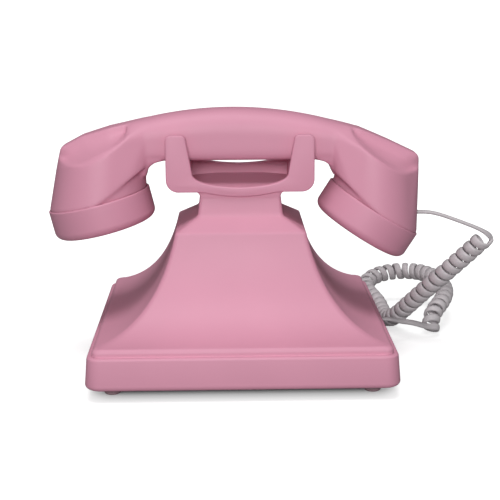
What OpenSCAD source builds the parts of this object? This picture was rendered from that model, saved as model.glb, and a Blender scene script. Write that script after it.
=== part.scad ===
// Small desk telephone: square concave base, raised cradle, rotary dial and a heavy handset.
// Millimetres. +Z is up, the dial faces -Y, and the origin is on the table under the middle of the
// phone's width. The drawing below has x = 0 at the base's middle, and placed() moves it by row_x.

/* [Base] */
// Width of the base at the foot of its skirt
base_w = 184.8; // [182:0.2:188]
// Depth of the base at the foot of its skirt
base_d = 190; // [186:0.5:196]
// Height of the skirt's bottom edge above the table
skirt_z0 = 6.8; // [6.5:0.1:8]
// Height of the skirt's top edge
skirt_z1 = 26.5; // [26:0.1:28]
// How much wider the skirt is at its foot than at its top, each side
skirt_flare = 1.2; // [0.8:0.1:2]
// Height of the ledge where the concave sides end
ledge_z = 88.3; // [87:0.1:89]
// Half width of the ledge
ledge_x = 40.1; // [39:0.1:41]
// Half depth of the ledge
ledge_y = 38; // [37:0.1:39]
// Wall of the body shell
wall = 2.6; // [2.2:0.1:3]
// Radius of the skirt's upright corners
skirt_corner_r = 9; // [7:0.5:11]

/* [Neck and cradle] */
// Height of the neck's foot, where the sloping shoulder ends
neck_z0 = 96.4; // [95:0.1:97]
// Height of the joint between the neck and the cradle
neck_z1 = 107.5; // [107:0.1:108]
// Half width of the neck at its top
neck_x = 25.3; // [25:0.1:26]
// Half depth of the neck at its top
neck_y = 22.8; // [22.6:0.1:23.2]
// Half width of the cradle's ear plates
plate_x = 45.9; // [45:0.1:47]
// Thickness of an ear plate
plate_t = 5; // [4:0.1:5.5]
// Half of the gap between the two ear plates
cradle_gap = 19.5; // [19:0.1:20.5]
// Height of the ears' tops
ear_z = 146.7; // [144:0.1:148]
// Height of the saddles that the handle rests on
saddle_z = 129.1; // [128.6:0.1:129.1]
// Lowest point of the rear plate's rim
rear_rim_z = 114.4; // [114.2:0.1:115.5]
// Lowest point of the front plate's rim
front_rim_z = 123.1; // [121:0.1:124]

/* [Handset] */
// Height of the handle's flat underside
handle_z = 129.5; // [129.5:0.1:130]
// Height of the handle's top at its highest point
handset_top = 161.5; // [160:0.1:163]
// Radius of the long arc along the handset's back
back_r = 236; // [230:1:242]
// Half width of the handle
handle_w = 17.5; // [16.5:0.1:17.8]
// Outer radius of the ear and mouth caps
cap_r = 32.8; // [32.4:0.1:33.2]
// Height of a cap from its seam to its face
cap_h = 19; // [18:0.1:20]
// Tilt of the ear cap
ear_tilt = 13.8; // [13:0.1:15]
// Tilt of the mouth cap
mouth_tilt = 32.5; // [31.5:0.1:33.5]
// How far the handset lifts in its joint
lift_travel = 60; // [40:5:80]

/* [Dial] */
// Outer radius of the dial housing
dial_r = 34; // [33.5:0.1:35]
// Radius of the finger wheel
wheel_r = 30.4; // [30:0.1:30.5]
// Radius of the circle through the finger holes
hole_pcd_r = 22; // [21.6:0.1:22.4]
// Radius of a finger hole
hole_r = 5.3; // [5:0.1:5.4]
// Teeth of the main gear
main_teeth = 60; // [60]
// Teeth of the impulse pinion
pinion_teeth = 12; // [12]

/* [Cord] */
// Width of the flat-sided cord
cord_w = 4.3; // [4:0.1:4.3]
// Thickness of the flat-sided cord
cord_t = 2.6; // [2.4:0.1:2.8]
// Radius of the curls, to the middle of the cord
curl_r = 5.05; // [4.9:0.05:5.1]
// Advance of one curl
curl_pitch = 6.6; // [6.5:0.1:7]

/* [Hidden] */
$fn = 48;

pink = [0.84, 0.60, 0.70];
deep_pink = [0.78, 0.52, 0.62];
cord_grey = [0.80, 0.77, 0.78];
foot_beige = [0.62, 0.50, 0.52];
steel = [0.72, 0.73, 0.75];
brass = [0.80, 0.65, 0.30];
ivory = [0.93, 0.91, 0.86];
black = [0.12, 0.12, 0.13];
board_green = [0.10, 0.38, 0.20];
copper = [0.72, 0.42, 0.22];

row_x = -4;            // the base's middle in the row's frame

// Body profile
half_x = base_w / 2;
half_y = base_d / 2;
foot_round = 3.2;      // rounding under the skirt
edge_round = 1.6;      // rounding of the skirt's top edge
plinth_round = 3;      // rounding of the plinth's top edge
foot_in = 3;           // set-back of the sweeping sides' foot from the plinth
plinth_in = 3.2;       // set-back of the plinth from the skirt's top edge
plinth_h = 4.6;        // height of the plinth above the skirt
sweep_pull_x = 11.5;   // how far out the concave sides' control point lies
sweep_pull_y = 10.1;   // the same for the concave back
sweep_pull_z = 36.6;   // height of those control points
sweep_steps = 14;
neck_foot = 1.2;       // how much wider the neck is at its foot
plinth_corner_r = 4;

// Bottom plate
plate_z0 = 8.6;
plate_z1 = 11.1;
plate_gap = 0.4;
screw_x = 74;
screw_y = 66;
boss_r = 4.5;
screw_r = 1.45;
screw_play = 0.05;
head_r = 2.8;
head_h = 1.6;
foot_x = 77.4;
foot_y = 75;
foot_r = 5;

// Dial, in its own frame: origin in the straight front, +Z out of the dial
dial_y = -62.9;
dial_z = 60.65;
dial_lean = atan2(55.3, 49.8);
housing_z0 = -20;
housing_z1 = 3.5;
housing_floor = 2.2;
housing_in_r = dial_r - 1.8;
base_plate_z0 = -3;
base_plate_z1 = -1.6;
number_plate_t = 0.8;
wheel_z0 = 2;
wheel_z1 = 4.5;
shaft_r = 3;
running_gap = 0.05;
gear_module = 0.7;
gear_z0 = -8;
gear_z1 = -6;
gear_apart = gear_module * (main_teeth + pinion_teeth) / 2 + 0.3;
finger_stop_angle = -24;
cam_r = 4.4;

// Cradle
wing_z0 = 111.4;
wing_corner_r = 7.7;
wing_in_x = 31.5;
plunger_x = 37.5;
plunger_r = 2.3;
flange_r = 4.5;
pocket_r = 4.9;
pocket_z1 = 124.2;
contact_z0 = 112.9;
contact_z1 = 114.3;
flange_z0 = 117.5;
flange_z1 = 118.9;
web_z0 = 98;
web_z1 = 100.4;
cradle_screw_x = 14;

// Handset
handset_mid_x = 5;
bell_x = 57.6;
ear_seam = [89.4, 104.2];
mouth_seam = [-85.4, 97.4];
bell_r = 31.7;
ridge_r = 4;
cup_r = 20;
cup_depth = 10;
collar_r = 30.2;
cap_wall = 2.4;
duct_z = 139;
duct_r = 5;
section_steps = 28;
handset_exit = [-114.8, 0, 93.5];

// Jacks in the base
jack_y = -15;
jack_z = 18.5;
jack_x0 = -90;
jack_size = [14, 12, 12];
socket = [12, 8, 7];     // hollow of a jack, from 1 mm in front of its face
plug = [11, 7.6, 6.6];
base_exit = [jack_x0 - 2.5, jack_y, jack_z];
line_jack_y = 45;

// Inner works
board_z = 15;
gong_r = 20;
gong_x = 27;
gong_y = 48;
gong_z = 24;
pivot_y = 20;
pivot_r = 1.5;
slider_x = 46;
slider_y = -62;
slider_travel = 4;

// Cord route, hand-placed: from the handset's jack to the first curl
lead_route = [
    [-115.2, 0, 93.5], [-119, 0, 93.5], [-124.3, 0, 92.8], [-130.5, 0, 91], [-136.7, 0, 88.7],
    [-145, 0, 85.6], [-153.4, 0, 82.2], [-158, -0.3, 79.6], [-161.2, -1.6, 77], [-163, -3.2, 74.4]
];
// The middle line of the curls, from the handset's end down to the table and round
coil_route = [
    [-156, 1, 75], [-144.5, -7, 61], [-133, -15, 47.5], [-121.5, -25.5, 33], [-111.5, -38, 18.5],
    [-105, -54, 6.4], [-101.5, -72, 5.8], [-100.6, -89, 11], [-93.5, -107, 14.3], [-94.3, -118, 18],
    [-102.8, -127, 21.1], [-114.6, -131, 22.8], [-125.8, -130, 23.6], [-135.3, -123, 24.4], [-142.9, -110, 24.4],
    [-147.3, -92, 23.2], [-147.1, -74, 21.1], [-141.9, -60, 18.2], [-135.7, -50, 15.5], [-131.7, -44, 11.2],
    [-130.7, -38.5, 3.9]
];
// From the last curl to the plug in the base
base_lead_end = [
    [-116.2, -28, 12.3], [-107.3, -23, 14.2], [-101.5, -17.5, 17.2], [-97.5, -15, 18.5], base_exit
];
cord_sides = 8;
curl_rings = 8;
route_steps = 8;

// ---------- helpers ----------

function unit(v) = v / norm(v);
function arc_points(cx, cy, r, a0, a1, n) =
    [for (i = [0:n]) let (a = a0 + (a1 - a0) * i / n) [cx + r * cos(a), cy + r * sin(a)]];
function sweep_points(a, c, b, n) =
    [for (i = [0:n]) let (t = i / n) (1 - t) * (1 - t) * a + 2 * t * (1 - t) * c + t * t * b];
function mirrored(half) =
    concat(half, [for (i = [len(half) - 1:-1:0]) [-half[i][0], half[i][1]]]);
function rounded_rect(hx, hy, r) = concat(
    arc_points(hx - r, hy - r, r, 0, 90, 6), arc_points(r - hx, hy - r, r, 90, 180, 6),
    arc_points(r - hx, r - hy, r, 180, 270, 6), arc_points(hx - r, r - hy, r, 270, 360, 6));

// A point on a smooth curve along the route's points (uniform B-spline), u in route segments
function on_route(p, u) = let (
        n = len(p) - 1, i = min(floor(u), n - 1), t = u - i,
        b = p[i], c = p[i + 1],
        a = i > 0 ? p[i - 1] : 2 * b - c,
        d = i < n - 1 ? p[i + 2] : 2 * c - b)
    ((1 - t) * (1 - t) * (1 - t) * a + (3 * t * t * t - 6 * t * t + 4) * b
        + (1 + 3 * t + 3 * t * t - 3 * t * t * t) * c + t * t * t * d) / 6;
function smooth_route(p, steps) =
    [for (i = [0:(len(p) - 1) * steps]) on_route(p, i / steps)];
function running_length(p) =
    [for (i = 0, s = 0; i < len(p); i = i + 1, s = i < len(p) ? s + norm(p[i] - p[i - 1]) : s) s];
// The same line with n + 1 points evenly along it
function even_points(p, n) = let (s = running_length(p), total = s[len(s) - 1])
    [for (k = [0:n]) let (w = total * k / n)
        k == n ? p[len(p) - 1]
        : let (i = [for (j = [0:len(s) - 2]) if (s[j] <= w && w < s[j + 1]) j][0])
            p[i] + (p[i + 1] - p[i]) * (w - s[i]) / (s[i + 1] - s[i])];
function directions(p) = let (n = len(p) - 1)
    [for (i = [0:n]) unit(p[min(i + 1, n)] - p[max(i - 1, 0)])];
// Side vectors carried along the line without twist
function carried(dirs, first) =
    [for (i = 0, v = unit(first - (first * dirs[0]) * dirs[0]); i < len(dirs);
        i = i + 1, v = i < len(dirs) ? unit(v - (v * dirs[i]) * dirs[i]) : v) v];

// The same, but turning steadily so that the last one lies along the given vector
function turned(dirs, first, last) = let (
        c = carried(dirs, first), n = len(dirs) - 1, k = c[n] * last < 0 ? -1 : 1)
    [for (i = [0:n]) unit((1 - i / n) * c[i] + k * i / n * last)];

// A closed flat-sided cord along the points; flats point through its thickness
module strip(points, flats) {
    dirs = directions(points);
    sides = cord_sides;
    rings = len(points);
    ring_points = [for (i = [0:rings - 1]) let (
            u = unit(flats[i] - (flats[i] * dirs[i]) * dirs[i]), w = cross(dirs[i], u))
        for (k = [0:sides - 1]) let (a = 360 * (k + 0.5) / sides)
            points[i] + 1.04 * (cord_t / 2 * cos(a) * u + cord_w / 2 * sin(a) * w)];
    walls = [for (i = [0:rings - 2]) for (k = [0:sides - 1]) let (
            a = i * sides + k, b = i * sides + (k + 1) % sides)
        each [[a, a + sides, b], [b, a + sides, b + sides]]];
    caps = [for (k = [1:sides - 2]) each [
        [0, k, k + 1],
        [(rings - 1) * sides, (rings - 1) * sides + k + 1, (rings - 1) * sides + k]]];
    polyhedron(points = ring_points, faces = concat(walls, caps), convexity = 10);
}

// Every node goes through this, so the origin lies under the middle of the phone's whole width
module placed() {
    translate([row_x, 0, 0]) children();
}

module extrude_y(points, depth) {
    rotate([90, 0, 0]) linear_extrude(height = depth, center = true) polygon(points);
}

module extrude_x(points, width) {
    rotate([90, 0, 90]) linear_extrude(height = width, center = true) polygon(points);
}

module on_dial() {
    translate([0, dial_y, dial_z]) rotate([dial_lean, 0, 0]) children();
}

module on_ear() {
    translate([ear_seam[0], 0, ear_seam[1]]) rotate([0, ear_tilt, 0]) children();
}

module on_mouth() {
    translate([mouth_seam[0], 0, mouth_seam[1]]) rotate([0, -mouth_tilt, 0]) children();
}

// ---------- base ----------

sweep_foot_z = skirt_z1 + plinth_h;
function sweep_foot(s) = s - skirt_flare - plinth_in - foot_in;
side_pull = [ledge_x + sweep_pull_x, sweep_pull_z];
back_pull = [ledge_y + sweep_pull_y, sweep_pull_z];
front_pull = [(ledge_y + sweep_foot(half_y)) / 2, (ledge_z + sweep_foot_z) / 2];

// Half of an outline, for a half width of s at the foot; pull bends the part between foot and ledge
function body_half(s, ledge, neck, pull) = let (top = s - skirt_flare, p = top - plinth_in)
    concat(
        arc_points(s - foot_round, skirt_z0 + foot_round, foot_round, -90, 0, 3),
        arc_points(top - edge_round, skirt_z1 - edge_round, edge_round, 0, 90, 3),
        arc_points(p - plinth_round, sweep_foot_z - plinth_round, plinth_round, 0, 80, 4),
        sweep_points([sweep_foot(s), sweep_foot_z], pull, [ledge, ledge_z], sweep_steps),
        [[neck + neck_foot, neck_z0], [neck, neck_z1]]);

function hollow_half(s, ledge, neck, pull) = let (top = s - skirt_flare - wall, p = top - plinth_in)
    concat(
        [[top, 0], [top, skirt_z1 - wall - 0.2], [p, skirt_z1 - wall]],
        sweep_points([sweep_foot(s) - wall, sweep_foot_z - wall], pull - [wall, wall],
            [ledge - wall, ledge_z - wall], sweep_steps),
        [[neck + neck_foot - wall, neck_z0 - wall], [neck - wall, neck_z1 + 5]]);

// An outline with one half to the right and another to the left
function joined(right, left) = concat(right, [for (i = [len(left) - 1:-1:0]) [-left[i][0], left[i][1]]]);

// The skirt's tapering block, with its upright corners rounded
module skirt_block() {
    hull() for (p = arc_points(-foot_round, skirt_z0 + foot_round, foot_round, -90, 0, 3))
        skirt_slab(p[1], -p[0]);
    hull() {
        skirt_slab(skirt_z0 + foot_round, 0);
        for (p = arc_points(-edge_round, skirt_z1 - edge_round, edge_round, 0, 90, 3))
            skirt_slab(p[1], skirt_flare - p[0]);
    }
}

module skirt_slab(z, inset) {
    translate([0, 0, z]) linear_extrude(height = 0.01)
        polygon(rounded_rect(half_x - inset, half_y - inset, skirt_corner_r - inset * 0.6));
}

module body_outer() {
    intersection() {
        extrude_y(mirrored(body_half(half_x, ledge_x, neck_x, side_pull)), base_d + 20);
        extrude_x(joined(body_half(half_y, ledge_y, neck_y, back_pull),
            body_half(half_y, ledge_y, neck_y, front_pull)), base_w + 20);
        union() {
            skirt_block();
            linear_extrude(height = neck_z1 + 1)
                polygon(rounded_rect(half_x - skirt_flare - plinth_in,
                    half_y - skirt_flare - plinth_in, plinth_corner_r));
        }
    }
}

module body_hollow() {
    intersection() {
        extrude_y(mirrored(hollow_half(half_x, ledge_x, neck_x, side_pull)), base_d + 20);
        extrude_x(joined(hollow_half(half_y, ledge_y, neck_y, back_pull),
            hollow_half(half_y, ledge_y, neck_y, front_pull)), base_w + 20);
        linear_extrude(height = 200)
            polygon(rounded_rect(half_x - wall, half_y - wall, skirt_corner_r - wall));
    }
}

module at_base_screws() {
    for (x = [-screw_x, screw_x], y = [-screw_y, screw_y]) translate([x, y, 0]) children();
}

module body_shell() {
    color(pink) placed()
    difference() {
        union() {
            difference() {
                body_outer();
                body_hollow();
            }
            intersection() {
                body_outer();
                union() {
                    at_base_screws() translate([0, 0, plate_z1]) cylinder(r = boss_r, h = 60);
                    translate([-neck_x - 1, -neck_y - 1, web_z0])
                        cube([2 * neck_x + 2, 2 * neck_y + 2, web_z1 - web_z0]);
                }
            }
        }
        on_dial() translate([0, 0, housing_z0 - 6]) cylinder(r = dial_r + 0.15, h = 50);
        at_base_screws() translate([0, 0, plate_z1 - 1]) cylinder(r = screw_r + screw_play, h = 13);
        for (x = [-cradle_screw_x, cradle_screw_x])
            translate([x, 0, web_z0 - 1]) cylinder(r = screw_r + 0.15, h = web_z1 - web_z0 + 2);
        for (y = [jack_y, line_jack_y])
            translate([-half_x - 5, y - jack_size[1] / 2 - 0.2, jack_z - jack_size[2] / 2 - 0.2])
                cube([13.4, jack_size[1] + 0.4, jack_size[2] + 0.4]);
    }
}

module bottom_plate() {
    hx = half_x - skirt_flare - wall - plate_gap;
    hy = half_y - skirt_flare - wall - plate_gap;
    color(black) placed()
    difference() {
        translate([0, 0, plate_z0]) linear_extrude(height = plate_z1 - plate_z0)
            polygon(rounded_rect(hx, hy, skirt_corner_r - wall));
        at_base_screws() translate([0, 0, plate_z0 - 1]) cylinder(r = screw_r + 0.15, h = 5);
        translate([slider_x, slider_y, plate_z0 + 1]) cube([2 * slider_travel + 4, 4, 6], center = true);
    }
}

module base_screws() {
    color(steel) placed() at_base_screws() {
        translate([0, 0, plate_z0 - head_h]) cylinder(r = head_r, h = head_h);
        translate([0, 0, plate_z0]) cylinder(r = screw_r, h = 12);
    }
}

module feet() {
    color(foot_beige) placed()
    for (x = [-foot_x, foot_x], y = [-foot_y, foot_y]) translate([x, y, 0])
        rotate_extrude() polygon(concat([[0, 0], [foot_r - 1.6, 0]],
            arc_points(foot_r - 1.6, 1.6, 1.6, -60, 0, 3), [[foot_r, plate_z0], [0, plate_z0]]));
}

module ballast_weight() {
    color(steel) placed() difference() {
        translate([24, -44, plate_z1]) cube([50, 50, 7]);
        for (x = [32, 66]) translate([x, -15, plate_z1 - 1]) cylinder(r = 2, h = 10);
    }
}

// ---------- dial ----------

module dial_housing() {
    color(pink) placed() on_dial() difference() {
        union() {
            difference() {
                translate([0, 0, housing_z0]) cylinder(r = dial_r, h = housing_z1 - housing_z0, $fn = 96);
                translate([0, 0, housing_z0 + housing_floor])
                    cylinder(r = housing_in_r, h = housing_z1 - housing_z0, $fn = 96);
            }
            for (a = [30, 150, 270]) rotate(a) translate([housing_in_r - 3.8, 0, housing_z0 + 1])
                cylinder(r = 2.6, h = base_plate_z0 - housing_z0 - 1);
        }
        translate([0, 0, housing_z0 - 1]) cylinder(r = shaft_r + 1, h = 5);
        translate([-16, -12, housing_z0 - 1]) cylinder(r = 3, h = 5);
    }
}

module dial_base_plate() {
    color(steel) placed() on_dial() difference() {
        union() {
            translate([0, 0, base_plate_z0]) cylinder(r = housing_in_r - 0.3, h = base_plate_z1 - base_plate_z0);
            translate([0, 0, base_plate_z0 - 2]) cylinder(r = 5.5, h = 2);
        }
        translate([0, 0, base_plate_z0 - 3]) cylinder(r = shaft_r + running_gap, h = 8);
        translate([0, gear_apart, base_plate_z0 - 1]) cylinder(r = 1.2 + running_gap, h = 4);
    }
}

module number_plate() {
    color(ivory) placed() on_dial() difference() {
        translate([0, 0, base_plate_z1]) cylinder(r = housing_in_r - 1.6, h = number_plate_t, $fn = 96);
        translate([0, 0, base_plate_z1 - 1]) cylinder(r = 13, h = 4);
    }
}

module finger_wheel() {
    color(deep_pink) placed() on_dial() difference() {
        translate([0, 0, wheel_z0]) cylinder(r = wheel_r, h = wheel_z1 - wheel_z0, $fn = 96);
        for (i = [0:9]) rotate(30 + 30 * i) translate([hole_pcd_r, 0, wheel_z0 - 1])
            cylinder(r = hole_r, h = 5);
        translate([0, 0, wheel_z0 - 1]) cylinder(r = shaft_r + 0.02, h = 5);
    }
}

module dial_centre_cap() {
    color(ivory) placed() on_dial() translate([0, 0, wheel_z1]) rotate_extrude()
        polygon([[0, 0], [13, 0], [13, 0.8], [12, 1.6], [0, 1.9]]);
}

module finger_stop() {
    color(steel) placed() on_dial() rotate(finger_stop_angle) {
        translate([housing_in_r - 1.4, -2.5, base_plate_z1]) cube([1, 5, 7.8]);
        translate([housing_in_r - 10, -2, wheel_z1 + 0.7]) cube([9.6, 4, 1]);
    }
}

module dial_shaft() {
    color(steel) placed() on_dial() translate([0, 0, housing_z0 + housing_floor + 0.5])
        cylinder(r = shaft_r, h = wheel_z1 - housing_z0 - housing_floor - 0.5);
}

function gear_points(teeth, tip_share) = let (
        pitch_r = gear_module * teeth / 2, root = pitch_r - 0.9, tip = pitch_r + 0.5, step = 360 / teeth)
    [for (i = [0:teeth - 1]) let (a = i * step) each [
        root * [cos(a - 0.28 * step), sin(a - 0.28 * step)],
        tip * [cos(a - tip_share * step), sin(a - tip_share * step)],
        tip * [cos(a + tip_share * step), sin(a + tip_share * step)],
        root * [cos(a + 0.28 * step), sin(a + 0.28 * step)]]];

module main_gear() {
    color(brass) placed() on_dial() difference() {
        translate([0, 0, gear_z0]) linear_extrude(height = gear_z1 - gear_z0)
            polygon(gear_points(main_teeth, 0.1));
        translate([0, 0, gear_z0 - 1]) cylinder(r = shaft_r + 0.02, h = 5);
        for (a = [0:90:270]) rotate(a + 45) translate([11.5, 0, gear_z0 - 1]) cylinder(r = 4, h = 5);
    }
}

module impulse_pinion() {
    color(brass) placed() on_dial() translate([0, gear_apart, 0]) {
        translate([0, 0, gear_z0]) linear_extrude(height = gear_z1 - gear_z0)
            rotate(-90 + 180 / pinion_teeth) polygon(gear_points(pinion_teeth, 0.1));
        translate([0, 0, housing_z0 + housing_floor + 0.5])
            cylinder(r = 1.2, h = base_plate_z1 - housing_z0 - housing_floor - 1);
        translate([0, 0, gear_z0 - 4.5]) difference() {
            cylinder(r = cam_r, h = 3);
            for (a = [0, 180]) rotate(a) translate([cam_r + 0.6, 0, -1]) cylinder(r = 1.8, h = 5);
        }
    }
}

module return_spring() {
    turns = 4;
    steps = 24;
    inner = 4.4;
    outer = 15;
    strip = 0.5;
    line = [for (i = [0:turns * steps]) let (r = inner + (outer - inner) * i / (turns * steps),
        a = 360 * i / steps) [r, a]];
    color(steel) placed() on_dial() translate([0, 0, -15.5]) linear_extrude(height = 3) polygon(concat(
        [for (p = line) p[0] * [cos(p[1]), sin(p[1])]],
        [for (i = [len(line) - 1:-1:0]) (line[i][0] + strip) * [cos(line[i][1]), sin(line[i][1])]]));
}

module impulse_contacts() {
    color(copper) placed() on_dial() {
        translate([14, 17, housing_z0 + housing_floor]) cube([7, 5.5, 9]);
        for (y = [18.6, 19.8]) translate([-3, y, -12.2]) cube([17.2, 0.4, 2.6]);
    }
}

// ---------- cradle ----------

function plate_outline(rim_z, rim_foot_x) = let (
        lower = [[0, 108.6], [8, 109], [15, 109.9], [22, 111.2]],
        corner = arc_points(plate_x - wing_corner_r, wing_z0 + wing_corner_r, wing_corner_r, -90, 0, 6),
        top = concat(arc_points(plate_x - 3.4, ear_z - 3.4, 3.4, 0, 90, 4),
            arc_points(36.4, ear_z - 3, 3, 90, 175, 4)),
        rim = sweep_points([rim_foot_x, rim_z + 8], [rim_foot_x - 1.6, rim_z + 0.8], [0, rim_z], 10))
    mirrored(concat(lower, [[26, wing_z0]], corner, top, rim));

module wing() {
    extrude_y(concat([[wing_in_x - 0.5, wing_z0]],
        arc_points(plate_x - wing_corner_r, wing_z0 + wing_corner_r, wing_corner_r, -90, 0, 6),
        [[plate_x, saddle_z], [wing_in_x - 0.5, saddle_z]]), 2 * cradle_gap);
}

module saddle_floor() {
    intersection() {
        extrude_y(concat([[-33, wing_z0], [33, wing_z0]],
            [for (i = [0:10]) let (x = 33 - 6.6 * i) [x, 117.6 - 0.0018 * x * x]]), 2 * cradle_gap);
        extrude_x([[-cradle_gap, 108], [cradle_gap, 108], [cradle_gap, rear_rim_z + 0.1],
            [-cradle_gap, 117.4]], 80);
    }
}

module stub() {
    half = concat([[neck_x - 0.3, neck_z1], [neck_x - 0.3, neck_z1 + 0.6]],
        [for (i = [0:4]) let (a = 180 - 22.5 * i)
            [neck_x + 3 + 3.3 * cos(a), wing_z0 - 3.3 + 3.3 * sin(a)]],
        [[neck_x + 3, wing_z0 + 1]]);
    extrude_y(mirrored(half), 2 * neck_y - 0.6);
}

module cradle() {
    color(pink) placed()
    difference() {
        union() {
            translate([0, cradle_gap + plate_t / 2, 0])
                extrude_y(plate_outline(rear_rim_z, 29.6), plate_t);
            translate([0, -cradle_gap - plate_t / 2, 0])
                extrude_y(plate_outline(front_rim_z, 32), plate_t);
            wing();
            mirror([1, 0, 0]) wing();
            saddle_floor();
            stub();
            difference() {
                translate([-neck_x + wall + 0.2, -neck_y + wall + 0.2, neck_z1 - 4])
                    cube([2 * (neck_x - wall - 0.2), 2 * (neck_y - wall - 0.2), 5]);
                translate([-neck_x + wall + 2, -neck_y + wall + 2, neck_z1 - 5])
                    cube([2 * (neck_x - wall - 2), 2 * (neck_y - wall - 2), 5.5]);
            }
            for (x = [-cradle_screw_x, cradle_screw_x])
                translate([x, 0, web_z1]) cylinder(r = 4.2, h = 13);
        }
        translate([-wing_in_x + 0.5, -cradle_gap, 114.2]) cube([2 * wing_in_x - 1, 1.2, 5]);
        for (x = [-plunger_x, plunger_x]) translate([x, 0, 0]) {
            translate([0, 0, wing_z0 - 1]) cylinder(r = pocket_r, h = pocket_z1 - wing_z0 + 1);
            translate([0, 0, pocket_z1 - 1]) cylinder(r = plunger_r + running_gap, h = 10);
        }
        for (x = [-cradle_screw_x, cradle_screw_x])
            translate([x, 0, web_z1 - 1]) cylinder(r = screw_r + screw_play, h = 11);
    }
}

module hook_plungers() {
    color(ivory) placed() for (x = [-plunger_x, plunger_x]) translate([x, 0, 0]) {
        translate([0, 0, flange_z0]) cylinder(r = flange_r, h = flange_z1 - flange_z0);
        translate([0, 0, flange_z1]) cylinder(r = plunger_r, h = saddle_z - flange_z1);
    }
}

module plunger_springs() {
    color(steel) placed() for (x = [-plunger_x, plunger_x]) translate([x, 0, contact_z1]) difference() {
        cylinder(r = 3.6, h = flange_z0 - contact_z1);
        translate([0, 0, -1]) cylinder(r = 2.8, h = 8);
    }
}

module hook_contacts() {
    color(black) placed() for (x = [-plunger_x, plunger_x])
        translate([x, 0, contact_z0]) cylinder(r = pocket_r - 0.04, h = contact_z1 - contact_z0);
}

module cradle_screws() {
    color(steel) placed() for (x = [-cradle_screw_x, cradle_screw_x]) translate([x, 0, 0]) {
        translate([0, 0, web_z0 - head_h]) cylinder(r = head_r, h = head_h);
        translate([0, 0, web_z0]) cylinder(r = screw_r, h = 11);
    }
}

// ---------- works in the base ----------

module circuit_board() {
    color(board_green) placed() difference() {
        union() {
            translate([-72, -52, board_z]) cube([34, 74, 1.6]);
            for (x = [-68, -42], y = [-48, 18]) translate([x, y, plate_z1])
                cylinder(r = 2.5, h = board_z - plate_z1);
        }
        for (x = [-68, -42], y = [-48, 18]) translate([x, y, board_z - 2]) cylinder(r = 1.2, h = 5);
    }
}

module board_parts() {
    color(black) placed() translate([0, 0, board_z + 1.6]) {
        translate([-64, -20, 0]) cube([10, 7, 2.5]);
        translate([-50, -22, 0]) cube([8, 12, 2]);
        for (y = [-40, -33]) translate([-62, y, 0]) cylinder(r = 2.5, h = 8);
        for (y = [0, 6, 12]) translate([-62, y, 0]) cube([14, 2.2, 2.4]);
    }
}

module ringer_frame() {
    color(steel) placed() difference() {
        union() {
            translate([-32, 8, plate_z1]) cube([64, 46, 1.5]);
            translate([-13, 8, plate_z1 + 1.5]) cube([26, 1.5, 14]);
            for (x = [-gong_x, gong_x]) translate([x, gong_y, plate_z1 + 1.5])
                cylinder(r = 3, h = gong_z + 6.8 - plate_z1 - 1.5);
        }
        for (x = [-gong_x, gong_x]) translate([x, gong_y, gong_z]) cylinder(r = 1.25, h = 12);
    }
}

module ringer_coils() {
    color(copper) placed() for (x = [-7, 7]) translate([x, 9.5, plate_z1 + 9]) rotate([-90, 0, 0])
        difference() {
            cylinder(r = 5.5, h = 8);
            translate([0, 0, -1]) cylinder(r = 2, h = 12);
        }
}

module gong(x) {
    color(brass) placed() translate([x, gong_y, gong_z]) rotate_extrude() polygon(concat(
        [[1.3, 8], [6, 8]], arc_points(gong_r - 8, 0, 8, 80, 0, 5),
        [[gong_r - 1.2, 0]], arc_points(gong_r - 8, 0, 6.8, 0, 80, 5), [[6, 6.8], [1.3, 6.8]]));
}

module gong_left() { gong(-gong_x); }

module gong_right() { gong(gong_x); }

module gong_screws() {
    color(steel) placed() for (x = [-gong_x, gong_x]) translate([x, gong_y, 0]) {
        translate([0, 0, gong_z + 8]) cylinder(r = 3.4, h = 1.6);
        translate([0, 0, gong_z + 1]) cylinder(r = 1.2, h = 7);
    }
}

module clapper() {
    color(steel) placed() difference() {
        union() {
            translate([0, pivot_y, plate_z1 + 12]) cylinder(r = 3, h = 4);
            translate([-0.8, pivot_y + 2, plate_z1 + 13.2]) cube([1.6, gong_y - pivot_y - 2, 1.6]);
            translate([0, gong_y, plate_z1 + 14]) sphere(r = 3.2, $fn = 32);
        }
        translate([0, pivot_y, plate_z1 + 11]) cylinder(r = pivot_r + running_gap, h = 6);
    }
}

module clapper_pin() {
    color(steel) placed() translate([0, pivot_y, plate_z1 + 1.5]) cylinder(r = pivot_r, h = 16);
}

module volume_slider() {
    color(ivory) placed() translate([slider_x - slider_travel / 2, slider_y, 0]) {
        translate([-1.6, -1.6, plate_z0 - 1.4]) cube([3.2, 3.2, 5.5]);
        translate([-3.5, -2.5, plate_z1 + 0.4]) cube([7, 5, 2]);
    }
}

module volume_switch() {
    color(black) placed() translate([slider_x, slider_y, plate_z1]) difference() {
        translate([-8.5, -4.5, 0]) cube([17, 9, 5]);
        translate([-7, -3, -1]) cube([14, 6, 4.5]);
    }
}

module jack(y) {
    nose = 4.5;
    color(black) placed() difference() {
        union() {
            translate([jack_x0, y - jack_size[1] / 2, jack_z - jack_size[2] / 2])
                cube([nose, jack_size[1], jack_size[2]]);
            translate([jack_x0 + nose, y - jack_size[1] / 2, plate_z1])
                cube([jack_size[0] - nose, jack_size[1], jack_z + jack_size[2] / 2 - plate_z1]);
        }
        translate([jack_x0 - 1, y - socket[1] / 2, jack_z - socket[2] / 2]) cube(socket);
    }
}

module base_jack() { jack(jack_y); }

module line_jack() { jack(line_jack_y); }

module base_plug() {
    color(cord_grey) placed() translate([base_exit[0], jack_y - plug[1] / 2, jack_z - socket[2] / 2]) cube(plug);
}

// ---------- handset ----------

function back_z(x) = handset_top - (x - handset_mid_x) * (x - handset_mid_x) / (2 * back_r);

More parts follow.
